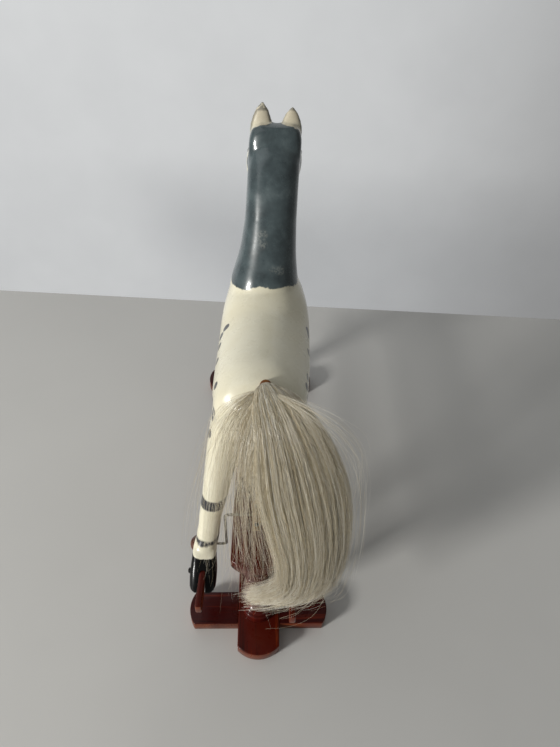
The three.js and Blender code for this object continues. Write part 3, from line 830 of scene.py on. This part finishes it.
NECK = [
    [-2, 32, 176, 26.5, 24, 2.1],
    [-1.8, 44, 196, 25, 26, 2.2],
    [-0.6, 53, 217, 20.6, 22, 2.3],
    [0, 62, 238, 18.4, 18.6, 2.4],
    [0, 71.5, 257, 18, 16.4, 2.4],
    [0, 82, 272, 17.8, 14.4, 2.3],
    [0, 93, 281, 14, 11, 2.1],
    [0, 101, 284, 7, 5, 2],
]


def head():
    along = MUZZLE - POLL

    def station(t, lift, *size):
        x, y, z = POLL + along * t
        return [x, y + lift * 0.73, z + lift * 0.68, *size]

    return loft([
        station(-0.02, -9, 9, 9, 2),
        station(0.08, -8, 16, 15, 2.2),
        station(0.22, -7, 19.6, 19.5, 2.4),
        station(0.42, -5, 18.8, 18.5, 2.4),
        station(0.6, -1.5, 14.2, 13.2, 2.4),
        station(0.78, 0, 11.4, 10.4, 2.4),
        station(0.93, -0.8, 11.6, 11, 2.4),
        station(1.04, -1.5, 10, 9.6, 2.3),
        station(1.1, -2, 4.5, 4.6, 2),
    ], 6, 48)


def ear(side):
    def station(t, *size):
        x, y, z = EAR_ROOT + (EAR_TIP - EAR_ROOT) * t
        return [side * x, y, z - side * 1.3 * t, *size]

    return loft([
        station(0, 6.6, 5, 2),
        station(0.3, 7.8, 4.2, 2),
        station(0.55, 7, 3.4, 2),
        station(0.8, 4.6, 2.4, 2),
        station(1, 0.8, 0.8, 2),
    ], 6, 28)


def leg(side, end, stations):
    """A leg through stations [share of the way out from hip to hoof, y, z, wide, deep]."""
    top = side * HIP_SPREAD
    foot = rail_across(side, end * HOOF_Y)
    spread = foot - top
    rows = [[top + spread * out, end * y, z, wide, deep, 2.1] for out, y, z, wide, deep in stations]
    return loft(rows, 6, 36)


HIND_LEG = [
    [0, 50, 178, 14, 20], [0.22, 56, 158, 13, 19], [0.41, 64, 140, 11.8, 17], [0.56, 74, 122, 10.2, 13],
    [0.68, 84, 107, 9, 10], [0.8, 89, 94, 8.2, 7], [0.86, 93, 82, 8, 6.6], [0.92, 98, 73, 8.2, 7.4],
    [1, 103, 67, 8, 7], [1, 108, 60, 5.6, 5],
]
FORE_LEG = [
    [0, 46, 180, 14, 19], [0.22, 54, 160, 13, 17], [0.46, 64, 141, 11, 13], [0.7, 76, 122, 9, 9.6],
    [0.88, 85, 107, 8, 8.4], [0.98, 90, 94, 6.8, 6.4], [1, 94, 82, 6.8, 6.2], [1, 98, 73, 7.2, 7.2],
    [1, 103, 67, 7.4, 7], [1, 108, 60, 5.6, 5],
]


def hoof(side, end):
    w = HOOF_HALF_WIDTH
    rise = HOOF_TOP - HOOF_SOLE

    def station(back, share, wide, deep):
        y = end * (HOOF_Y - back)
        return [rail_across(side, y), y, HOOF_SOLE + rise * share, wide, deep, 3.6]

    return loft([
        station(0, 0, w, 12.4),
        station(3.5, 0.3, w, 11.4),
        station(9.5, 0.7, w * 0.92, 9),
        station(15.5, 1, w * 0.86, 7.4),
    ], 6, 40, True)


EYE = np.array([17.4, 99.5, 270])
NOSTRIL = np.array([8.2, 139.5, 229.5])
EAR_HOLLOW = np.array([10.8, 96, 294])
FACE_TILT = math.atan2(MUZZLE[2] - POLL[2], MUZZLE[1] - POLL[1])
MOUTH = np.array([0, 133.5, 221.5])


def poll_form():
    """The broad flat top of the mane, behind the ears."""
    return loft([
        [0, 79, 262, 17.6, 9, 2.6],
        [0, 82, 273, 18.2, 9.6, 2.8],
        [0, 84.5, 285, 18, 8.6, 3],
        [0, 85.5, 292, 16, 6.6, 2.8],
        [0, 86, 295, 11.5, 4.2, 2.4],
    ], 5, 44, True)


def horse_forms():
    forms = [barrel(), loft(NECK, 6, 56), head(), poll_form()]
    for side in (-1, 1):
        mirror = np.array([side, 1, 1])
        forms += [ear(side), leg(side, -1, HIND_LEG), leg(side, 1, FORE_LEG)]
        forms += [hoof(side, -1), hoof(side, 1)]
        forms.append(ball(EYE * mirror, np.array([2.3, 3.2, 3.2])))
        forms.append(ball(np.array([19, -50, 168]) * mirror, np.array([12.5, 22, 27]), -0.3))
        forms.append(ball(np.array([17, 42, 166]) * mirror, np.array([11.5, 17, 24]), 0.3))
        forms.append(ball(np.array([9, 61, 168]) * mirror, np.array([11, 13, 17]), 0.3))
    return forms


def plug_form(radius, below, above, dome=0.0):
    top = fillet([radius, above], [radius, -below], [0, above + dome], min(0.7, radius / 4))
    points, faces = lathe([[0, -below], [radius, -below], *top, [0, above + dome]], 40)
    c, s = math.cos(PLUG_LEAN), math.sin(PLUG_LEAN)
    x, y, z = points.T
    return np.stack([x, y * c - z * s, y * s + z * c], 1) + TAIL_ROOT, faces


def slot_form(side):
    """The long slot under two hooves, with a rounded top."""
    half = RAIL_THICK / 2 + GAP
    top = RAIL_TOP + GAP
    arch = [(half * math.cos(a), top + 1.5 * math.sin(a)) for a in np.linspace(0, math.pi, 13)]
    points, faces = prism([(half, top - 30), *arch, (-half, top - 30)], -165, 165)
    points = points[:, [0, 2, 1]]
    points[:, 0] += side * RAIL_SPREAD + (LEFT_SPLAY if side < 0 else 0) * points[:, 1]
    return points, faces


def horse_cutters():
    cutters = [plug_form(PLUG_RADIUS + GAP, PLUG_DEPTH, 12)]
    for side in (-1, 1):
        cutters.append(slot_form(side))
        for end in (-1, 1):
            r = BOLT_RADIUS + GAP
            hole, faces = cylinder(r, 2.5, 32)
            seat = [bolt_seat(side, end) + side * 2.2, end * BOLT_Y, SWING_LOW]
            cutters.append((hole[:, [2, 0, 1]] + seat, faces))
        mirror = np.array([side, 1, 1])
        cutters.append(ball(NOSTRIL * mirror, np.array([2.0, 2.6, 1.7]), FACE_TILT))
        cutters.append(ball(EAR_HOLLOW * mirror, np.array([3.9, 2.7, 8.6]), -0.28))
    mouth, faces = brick(26, 17, 0.8, 0, 0, 0)
    c, s = math.cos(FACE_TILT), math.sin(FACE_TILT)
    mouth = np.stack([mouth[:, 0], mouth[:, 1] * c - mouth[:, 2] * s, mouth[:, 1] * s + mouth[:, 2] * c], 1)
    cutters.append((mouth + MOUTH, faces))
    return cutters


def vertices(obj):
    co = np.empty(len(obj.data.vertices) * 3, np.float32)
    obj.data.vertices.foreach_get("co", co)
    return co.reshape(-1, 3).astype(float) / MM


def put_vertices(obj, points):
    obj.data.vertices.foreach_set("co", (points * MM).astype(np.float32).ravel())
    obj.data.update()


def put_attribute(obj, name, values):
    layer = obj.data.attributes.new(name, "FLOAT", "POINT")
    layer.data.foreach_set("value", np.asarray(values, np.float32))


def smooth_more(obj, weights, rounds):
    """Smooths a mesh by weights from 0 to 1."""
    group = obj.vertex_groups.new(name="ease")
    steps = np.round(np.clip(weights, 0, 1) * 10).astype(int)
    for level in range(1, 11):
        chosen = np.flatnonzero(steps == level)
        if len(chosen):
            group.add(chosen.tolist(), level / 10, "REPLACE")
    change = obj.modifiers.new("ease", "SMOOTH")
    change.factor = 0.5
    change.iterations = rounds
    change.vertex_group = "ease"
    settle(obj)
    obj.vertex_groups.clear()


def near(value, low, high):
    """A smooth step from 0 to 1."""
    t = np.clip((value - low) / (high - low), 0, 1)
    return t * t * (3 - 2 * t)


VOXEL = 1.15


def horse_body():
    """The carved body in the horse's own frame: forms run together, eased, then cut."""
    obj = new_object("painted_horse", *merged(horse_forms()))
    change = obj.modifiers.new("join", "REMESH")
    change.mode = "VOXEL"
    change.voxel_size = VOXEL * MM
    settle(obj)
    p = vertices(obj)
    z = p[:, 2]
    ease = near(z, 72, 84)
    ease *= 1 - 0.9 * near(ear_field(p), -2.5, 0)
    ease *= 1 - 0.6 * (near(p[:, 1], 88, 100) * near(z, 215, 225))
    ease = np.maximum(ease, 0.15)
    smooth_more(obj, ease, 16)
    smooth_more(obj, joins(obj), 30)
    carve(obj, horse_cutters())
    return obj


def joins(obj):
    """Where legs and neck run into the body."""
    p = vertices(obj)
    y, z = np.abs(p[:, 1]), p[:, 2]
    low = near(z, 128, 140) * (1 - near(z, 205, 220)) * near(y, 24, 34)
    front = near(p[:, 1], 20, 30) * (1 - near(z, 215, 230)) * near(z, 180, 190)
    return np.maximum(low, front)


# Painted places, as signed distances in millimetres in the horse's own frame

def over_neck(p):
    """Height over the neck's middle line, towards its back."""
    line = spline([row[:3] for row in NECK], 6)
    along = unit(np.gradient(line, axis=0))
    up = np.cross(along, unit(np.array([1.0, 0, 0]) - along * along[:, :1]))
    up *= np.sign(up[:, 2:3] - up[:, 1:2])
    gap = p[:, None, 1:] - line[None, :, 1:]
    nearest = np.argmin((gap**2).sum(2), 1)
    offset = p - line[nearest]
    return (offset * up[nearest]).sum(1)


def mane_field(p):
    side = over_neck(p) + 3.5 + 2.2 * np.sin(p[:, 2] / 5.2) + 1.2 * np.sin(p[:, 2] / 2.1 + p[:, 0])
    lower = p[:, 2] - 208 + 5.5 * (p[:, 0] / 21) ** 2 + 0.7 * np.sin(p[:, 0] / 3.1)
    upper = 93 - p[:, 1] + 0.3 * (p[:, 2] - 290)
    clear_of_ears = -ear_field(p) - 0.3
    return np.minimum.reduce([side, lower, np.where(p[:, 2] > 280, upper, 9), clear_of_ears, p[:, 1] - 10])


def ear_half_width(z):
    return np.interp(z, [281, 288.2, 294.2, 300.2, 305], [6.6, 7.8, 7, 4.6, 0.8])


def ear_field(p):
    """How far inside the round of an ear."""
    share = (p[:, 2] - EAR_ROOT[2]) / (EAR_TIP[2] - EAR_ROOT[2])
    away = np.hypot(np.abs(p[:, 0]) - EAR_SPREAD, p[:, 1] - EAR_ROOT[1] - share * (EAR_TIP[1] - EAR_ROOT[1]))
    return np.where(p[:, 2] > 283, ear_half_width(p[:, 2]) + 0.6 - away, -9)


def band_field(p, low, high):
    return np.minimum(p[:, 2] - low, high - p[:, 2])


# Dapples at the edges that the photo shows: x, y, z and radius
SPOTS = [
    (-26.2, -0.5, 191.3, 2.2), (-29.8, -3.6, 185.5, 2.6), (-30.3, -12.9, 184.6, 2.5),
    (-30.3, -27.7, 184.8, 2.4), (-27.2, -53.4, 188.8, 2.2), (-29.8, -57.7, 179.5, 2.3),
    (-29.8, -59.6, 168.6, 2.2), (27.7, 4.7, 186.5, 2.4), (28.9, 1.8, 184.5, 2.2),
    (29.2, -15.1, 184.1, 2.4), (29.2, -40.5, 185.7, 2.3), (28.7, -49.8, 187, 2.4),
    (30.3, -53.3, 179.5, 2.2),
]
SPOT_ROWS = (176, 167, 158, 149)
SPOT_STEP = 11.5
SPOT_STRAY = 2.4
SPOT_GROWTH = 1.12


def spot_field(p, rng):
    """Dapples: those at the photo's edges, and more over the flanks."""
    spots = list(SPOTS)
    for side in (-1, 1):
        for row, z in enumerate(SPOT_ROWS):
            for y in np.arange(-66 + 5 * (row % 2), 56, SPOT_STEP):
                back, up = rng.uniform(-SPOT_STRAY, SPOT_STRAY), rng.uniform(-SPOT_STRAY, SPOT_STRAY)
                spots.append((side * 32, y + back, z + up, rng.uniform(1.7, 2.6)))
    best = np.full(len(p), -9.0)
    for x, y, z, r in spots:
        gap = np.hypot(p[:, 1] - y, (p[:, 2] - z + 2.5) * 0.85)
        best = np.maximum(best, np.where(p[:, 0] * x > 0, SPOT_GROWTH * r - gap, -9))
    return best


HOCK_BAND = (102, 111)
FETLOCK_BAND = (74, 77)
HOOF_PAINT_TOP = 68.5


def paint_fields(obj):
    p = vertices(obj)
    rng = np.random.default_rng(7)
    knees = band_field(p, *HOCK_BAND)
    fetlocks = band_field(p, *FETLOCK_BAND) - 0.3 * np.sin(p[:, 0] / 1.7)
    rim = np.abs(np.abs(p[:, 0]) - EAR_SPREAD) - 0.84 * ear_half_width(p[:, 2])
    rim = np.maximum(rim, p[:, 2] - 301.5)
    beside = np.where(np.abs(p[:, 0]) > 15, 0, 9)
    fields = {
        "mane": mane_field(p),
        "spot": spot_field(p, rng),
        "band": np.maximum(knees, fetlocks),
        "hoof": HOOF_PAINT_TOP - p[:, 2],
        "rim": np.where(ear_field(p) > 0, rim, -9),
        "blush": np.where(p[:, 2] > 285, 3 - np.abs(p[:, 2] - 300) / 2, -6),
        "eye": 2.9 - beside - np.hypot(p[:, 1] - EYE[1], p[:, 2] - EYE[2]),
        "red": red_field(p),
        "scuff": scuff_field(p),
    }
    for name, values in fields.items():
        put_attribute(obj, name, values)


def red_field(p):
    """Inside of the nostrils and the mouth."""
    flat = p * [0, 1, 1] + np.abs(p) * [1, 0, 0]
    nostril = 2.0 - np.linalg.norm(flat - NOSTRIL, axis=1)
    out = np.array([0, -math.sin(FACE_TILT), math.cos(FACE_TILT)])
    mouth = 0.75 - np.abs((p - MOUTH) @ out)
    return np.maximum(nostril, np.where(p[:, 1] > 126, mouth, -9))


# Worn places on the mane: x, y, z and radius
SCUFFS = [(-5, 43, 236, 4.6), (-4, 39, 231, 3.8), (4, 31, 216, 4.2), (9, 30, 217, 3.2)]


def scuff_field(p):
    best = np.full(len(p), -9.0)
    for x, y, z, r in SCUFFS:
        best = np.maximum(best, r - np.linalg.norm(p - (x, y, z), axis=1))
    return best


PLUG_SUNK = 0.7
PLUG_DOME = 0.4


def build_horse():
    obj = horse_body()
    paint_fields(obj)
    put_vertices(obj, lean_and_turn(vertices(obj)))
    dress(obj, horse_paint, "horse", ["horse"], 40)
    points, faces = plug_form(PLUG_RADIUS, PLUG_DEPTH - GAP, PLUG_PROUD - PLUG_SUNK, PLUG_DOME)
    plug = new_object("wedge_plug", lean_and_turn(points), faces)
    dress(plug, plug_brown, "horse", ["tail_plug"])
    return obj


# Tail

# Middle, half width and half depth of the tress
TRESS = [
    [2.9, -69.4, 203, 3.2, 1.7], [4.2, -74, 205.6, 7, 2.6], [8, -83, 204.4, 12, 3.5],
    [13.5, -94, 198.5, 15.5, 4.5], [20, -105, 183, 20.5, 6], [26, -116, 160, 24, 7],
    [31, -125, 135, 23, 8], [33, -132, 110, 20, 8], [31, -136, 92, 18, 7.5],
    [25, -138, 81, 15, 7], [12, -138.5, 74, 11, 6.5], [-8, -138, 67, 4, 3.5],
]
HAIR_OVER_PLUG = 1.0

# Drift of the tress's strands, where strands begin to be held in on the right, and their room there
WAVER = 1.8
SIDE_START = 54
SIDE_ROOM = 11

# Outer strands of the fan
FAN_LEFT = [
    [1, -68.5, 201], [-8, -71, 200], [-18, -73, 195], [-27, -75, 185], [-33, -79, 169],
    [-38, -85, 148], [-42, -94, 122], [-44, -105, 98], [-45, -115, 80], [-44, -122, 66],
]
FAN_RIGHT = [
    [2.5, -69, 200], [2.5, -80, 200], [1.5, -94, 193], [0, -108, 176], [1, -120, 153],
    [3, -129, 128], [5, -134.5, 104], [5, -137.5, 84], [2, -139, 66], [-3, -140, 46],
]
FLYAWAY = [
    [4, -72, 203], [14, -84, 210], [32, -98, 214], [50, -110, 208], [62, -118, 192],
    [65, -123, 170], [60, -127, 148],
]


def tubes(name, paths, radii, tone):
    """Many closed three-sided strands as one object."""
    count, points, _ = paths.shape
    along = unit(np.gradient(paths, axis=1))
    side = unit(np.cross(along, np.array([0.15, 0.75, -0.65])))
    up = np.cross(along, side)
    rings = []
    for k in range(3):
        a = 2 * np.pi * k / 3
        rings.append(paths + radii[..., None] * (math.cos(a) * side + math.sin(a) * up))
    co = np.stack(rings, 2).reshape(-1, 3) * MM
    base = (np.arange(count)[:, None] * points + np.arange(points - 1)[None]).reshape(-1, 1) * 3
    k = np.arange(3)[None]
    a, b = base + k, base + (k + 1) % 3
    quads = np.stack([a, b, b + 3, a + 3], -1).reshape(-1, 4)
    starts = np.arange(count) * points * 3
    ends = starts + (points - 1) * 3
    first = np.stack([starts + 2, starts + 1, starts], -1)
    last = np.stack([ends, ends + 1, ends + 2], -1)
    corners = np.concatenate([quads.ravel(), first.ravel(), last.ravel()])
    loops = np.concatenate([np.arange(len(quads)) * 4, len(quads) * 4 + np.arange(2 * count) * 3])
    mesh = bpy.data.meshes.new(name)
    mesh.vertices.add(len(co))
    mesh.vertices.foreach_set("co", co.astype(np.float32).ravel())
    mesh.loops.add(len(corners))
    mesh.loops.foreach_set("vertex_index", corners.astype(np.int32))
    mesh.polygons.add(len(loops))
    mesh.polygons.foreach_set("loop_start", loops.astype(np.int32))
    mesh.update(calc_edges=True)
    obj = bpy.data.objects.new(name, mesh)
    bpy.context.scene.collection.objects.link(obj)
    put_attribute(obj, "tone", np.repeat(tone, points * 3))
    return obj


def wander(rng, count, points, size):
    """Slow sideways drift for each strand, nothing at the root."""
    t = np.linspace(0, 1, points)[None, :, None]
    drift = np.zeros((count, points, 3))
    for wave in (1.0, 2.3, 4.1):
        phase = rng.uniform(0, 2 * np.pi, (count, 1, 3))
        sway = np.sin(wave * np.pi * t + phase) - np.sin(phase)
        drift += rng.normal(0, size / wave, (count, 1, 3)) * sway
    return drift * t**0.7


def resample(lines, ends, points, begins=0.0):
    """A stretch of each strand of a bundle: lines is (strand, point, xyz)."""
    count, full, _ = lines.shape
    stretch = np.clip(ends, 0.05, 1)[:, None] * np.linspace(0, 1, points)[None]
    at = (np.reshape(begins, (-1, 1)) + stretch) * (full - 1)
    low = np.clip(np.floor(at).astype(int), 0, full - 2)
    share = (at - low)[..., None]
    rows = np.arange(count)[:, None]
    return lines[rows, low] * (1 - share) + lines[rows, low + 1] * share


def push_out(paths, tree, clear):
    """Moves points out of a solid, to a small distance from its surface."""
    flat = paths[:, 1:].reshape(-1, 3)
    for i, point in enumerate(flat):
        spot, normal, _, away = tree.find_nearest(Vector(point) * MM, 0.03)
        if spot is None:
            continue
        inside = (Vector(point) * MM - spot).dot(normal) < 0
        if inside or away < clear * MM:
            flat[i] = np.array(spot + normal * clear * MM) / MM
    paths[:, 1:] = flat.reshape(paths[:, 1:].shape)
    return paths


def within_side(paths):
    """Keeps strands from reaching out far beyond the part's right side."""
    reach = np.maximum(paths[..., 0] - SIDE_START, 0)
    paths[..., 0] -= reach - SIDE_ROOM * (1 - np.exp(-reach / SIDE_ROOM))
    return paths


def tress_paths(rng, count, points, reach, clumping):
    """Strands of the tress; some of each one's place is drawn towards a clump's."""
    line = spline([row[:3] for row in TRESS], 5)
    size = spline([row[3:] + [0.0] for row in TRESS], 5)
    along = unit(np.gradient(line, axis=0))
    side = unit(np.array([1.0, 0.12, 0]) - along * (along @ np.array([1.0, 0.12, 0]))[:, None])
    up = np.cross(along, side)
    clumps = rng.normal(0, 1, (70, 2))
    clumps /= np.maximum(1, np.linalg.norm(clumps, axis=1, keepdims=True))
    own = rng.normal(0, 0.62, (count, 2))
    own *= reach / np.maximum(1, np.linalg.norm(own, axis=1, keepdims=True))
    home = clumps[rng.integers(0, len(clumps), count)]
    t = np.linspace(0, 1, len(line))[None, :, None]
    pull = clumping * t**0.8 * rng.uniform(0.5, 1, (count, 1, 1))
    ab = own[:, None] * (1 - pull) + home[:, None] * pull
    across = ab[..., :1] * size[None, :, :1] * side[None]
    high = ab[..., 1:] * size[None, :, 1:2] * up[None]
    paths = line[None] + across + high
    paths[..., 1:] += HAIR_OVER_PLUG * near(t, 0.12, 0.0)
    paths += wander(rng, count, len(line), WAVER)
    return within_side(resample(paths, rng.beta(3, 1.6, count) * 0.46 + 0.56, points))


def fan_paths(rng, count, points, low=0.0, full=1.0, tangle=0.35):
    """Strands between the edges of the fan: low leaves out a share on the left, full scales lengths."""
    left, right = spline(FAN_LEFT, 5), spline(FAN_RIGHT, 5)
    t = np.linspace(0, 1, left.shape[0])[None, :, None]
    a = rng.uniform(low, 1.0, (count, 1, 1)) ** 0.8
    a = np.clip(a + tangle * rng.normal(0, 1, (count, 1, 1)) * t**1.5, low * 0.8, 1.12)
    paths = left[None] * (1 - a) + right[None] * a
    paths[..., 1:2] += np.maximum(np.sqrt(a) - a, 0) * (right - left)[None, :, 1:2] * t
    paths += wander(rng, count, left.shape[0], 4.2)
    curl = rng.uniform(0, 2 * np.pi, (count, 1, 3)) + t * rng.uniform(9, 26, (count, 1, 1))
    paths += rng.gamma(1.4, 1.1, (count, 1, 1)) * t * np.sin(curl)
    return resample(paths, (rng.beta(1.6, 1.4, count) * 0.92 + 0.08) * full, points)


def frizz_paths(rng, count, points):
    """Short unruly strands round the lower tress."""
    line = spline([row[:3] for row in TRESS[4:]], 5)
    size = spline([row[3:] + [0.0] for row in TRESS[4:]], 5)
    spread = rng.normal(0, 0.8, (count, 1, 2))
    paths = np.repeat(line[None], count, 0)
    paths[..., 0] += spread[..., 0] * size[None, :, 0]
    paths[..., 1] += spread[..., 1] * size[None, :, 1]
    paths += wander(rng, count, len(line), 5.0)
    paths[..., 2] = np.maximum(paths[..., 2], 14)
    begin = rng.uniform(0, 0.6, count)
    span = rng.uniform(0.25, 0.4, count)
    return within_side(resample(paths, span, points, begin))


def fly_paths(rng, count, points):
    """Single strands that stand off the tress on the right."""
    base = spline(FLYAWAY, 5)
    lift = rng.uniform(0.25, 1, (count, 1, 1))
    tress = spline([row[:3] for row in TRESS[:7]], 5)
    paths = tress[None] * (1 - lift) + base[None] * lift
    paths += wander(rng, count, base.shape[0], 4.5)
    return within_side(resample(paths, rng.uniform(0.4, 1, count), points))


def build_tail(horse, bar):
    rng = np.random.default_rng(29)
    graph = bpy.context.evaluated_depsgraph_get()
    body = BVHTree.FromObject(horse, graph)
    wood = BVHTree.FromObject(bar, graph)
    # Name, strands, radius, and the CAD nodes that it stands for
    groups = [
        ("tail_tress", tress_paths(rng, 1800, 13, 1.0, 0.35), 0.15, ["tail"]),
        ("tail_tress_inner", tress_paths(rng, 1900, 14, 1.02, 0.25), 0.115, []),
        ("tail_tress_outer", tress_paths(rng, 2300, 14, 1.2, 0.1), 0.065, []),
        ("tail_crown", fan_paths(rng, 1700, 10, 0.42, 0.46, 0.05), 0.115, []),
        ("tail_fan", fan_paths(rng, 600, 24), 0.06, []),
        ("tail_frizz", frizz_paths(rng, 420, 14), 0.05, []),
        ("tail_flyaways", fly_paths(rng, 130, 20), 0.045, []),
    ]
    for name, paths, radius, nodes in groups:
        count, points, _ = paths.shape
        paths = push_out(paths, body, 0.35)
        paths = push_out(paths, wood, 0.8)
        t = np.linspace(0, 1, points)[None]
        thick = radius * rng.uniform(0.7, 1.25, (count, 1)) * (1 - 0.55 * t**2)
        obj = tubes(name, paths, thick, rng.uniform(0, 1, count))
        dress(obj, hair_paint, "horse", nodes, 180)


# Floor, light and camera

TABLE_EDGE, TABLE_SLOPE = 256, -0.063
WALL_Y = 1500
# The wall's glow is painted light, a fill from behind; its darkening to the right is painted shadow
WALL_GLOW = 0.42
WALL_PAINTED_SHADE = 0.5
SHADE_FROM, SHADE_TO = 0.2, 1.3


def pale(name, tones, glow=0.0, painted_shade=0.0):
    """A plain light surface that may glow a little as painted light, and grow darker to the right as painted
    shadow.
    """
    low, high = tones
    f = Finish(name, Specular_IOR_Level=0.25, Emission_Color=low, Emission_Strength=glow)
    tone = f.ramp(f.noise(5, 3), (0.35, low), (0.65, high))
    # Painted shadow: darker towards the right
    if painted_shade:
        across = f.add("ShaderNodeSeparateXYZ", f.place()).outputs["X"]
        tone = f.mix(f.step(across, SHADE_FROM, SHADE_TO, 0.0, painted_shade), tone, WALL_SHADE)
        f.set(Emission_Color=tone)
    rough = f.step(f.noise(40), 0.3, 0.7, 0.5, 0.62)
    f.set(Base_Color=tone, Roughness=rough, Normal=f.bump(f.noise(900, 2), 0.05, 0.05))
    return f.material


def build_stage():
    """A table top whose far edge lies as in the photo, and a wall well behind it."""
    half = 900
    drop = half * TABLE_SLOPE
    top = [(-half, -800), (half, -800), (half, TABLE_EDGE + drop), (-half, TABLE_EDGE - drop)]
    table = new_object("table_top", *prism(top, -22, -0.05))
    table.data.materials.append(pale("pale_table", TABLE_TONES))
    wall = new_object("far_wall", *brick(7000, 20, 6000, 0, WALL_Y, 0))
    wall.data.materials.append(pale("pale_wall", WALL_TONES, WALL_GLOW, WALL_PAINTED_SHADE))


# Lamps, in metres and watts: place, aim, side, power and colour
LAMPS = {
    "window": ((-1.42, -1.0, 0.62), (-0.02, -0.03, 0.15), 0.3, 27, (1.0, 0.985, 0.95)),
    "room": ((-1.7, -0.1, 2.3), (0, 0.1, 0), 2.2, 9, (0.96, 0.985, 1.0)),
}
ROOM_TINT = (0.88, 0.88, 0.86, 1)
ROOM_STRENGTH = 0.16


def lamp(name, place, aim, side, power, colour):
    data = bpy.data.lights.new(name, "AREA")
    data.shape = "RECTANGLE"
    data.size, data.size_y = side, side
    data.energy = power
    data.color = colour
    obj = bpy.data.objects.new(name, data)
    bpy.context.scene.collection.objects.link(obj)
    obj.location = place
    obj.rotation_euler = (Vector(aim) - Vector(place)).to_track_quat("-Z", "Y").to_euler()


def build_light():
    for name, settings in LAMPS.items():
        lamp(name, *settings)
    world = bpy.data.worlds.new("room")
    world.use_nodes = True
    background = world.node_tree.nodes["Background"]
    background.inputs["Color"].default_value = ROOM_TINT
    background.inputs["Strength"].default_value = ROOM_STRENGTH
    bpy.context.scene.world = world
    bpy.context.scene.view_settings.view_transform = "Standard"


def build_camera():
    data = bpy.data.cameras.new("camera")
    data.lens = LENS
    data.sensor_width = 36
    data.sensor_fit = "AUTO"
    data.clip_start, data.clip_end = 0.01, 50
    obj = bpy.data.objects.new("camera", data)
    bpy.context.scene.collection.objects.link(obj)
    cy, sy = math.cos(CAMERA_YAW), math.sin(CAMERA_YAW)
    cp, sp = math.cos(CAMERA_PITCH), math.sin(CAMERA_PITCH)
    cr, sr = math.cos(CAMERA_ROLL), math.sin(CAMERA_ROLL)
    ahead = Vector((sy * cp, cy * cp, -sp))
    right = Vector((cy, -sy, 0))
    up = right.cross(ahead)
    x, y = right * cr + up * sr, up * cr - right * sr
    matrix = Matrix((x, y, -ahead)).transposed().to_4x4()
    obj.matrix_world = Matrix.Translation(Vector(CAMERA_AT) * MM) @ matrix
    bpy.context.scene.camera = obj


top_bar = build_stand()
painted = build_horse()
build_tail(painted, top_bar)
build_stage()
build_light()
build_camera()
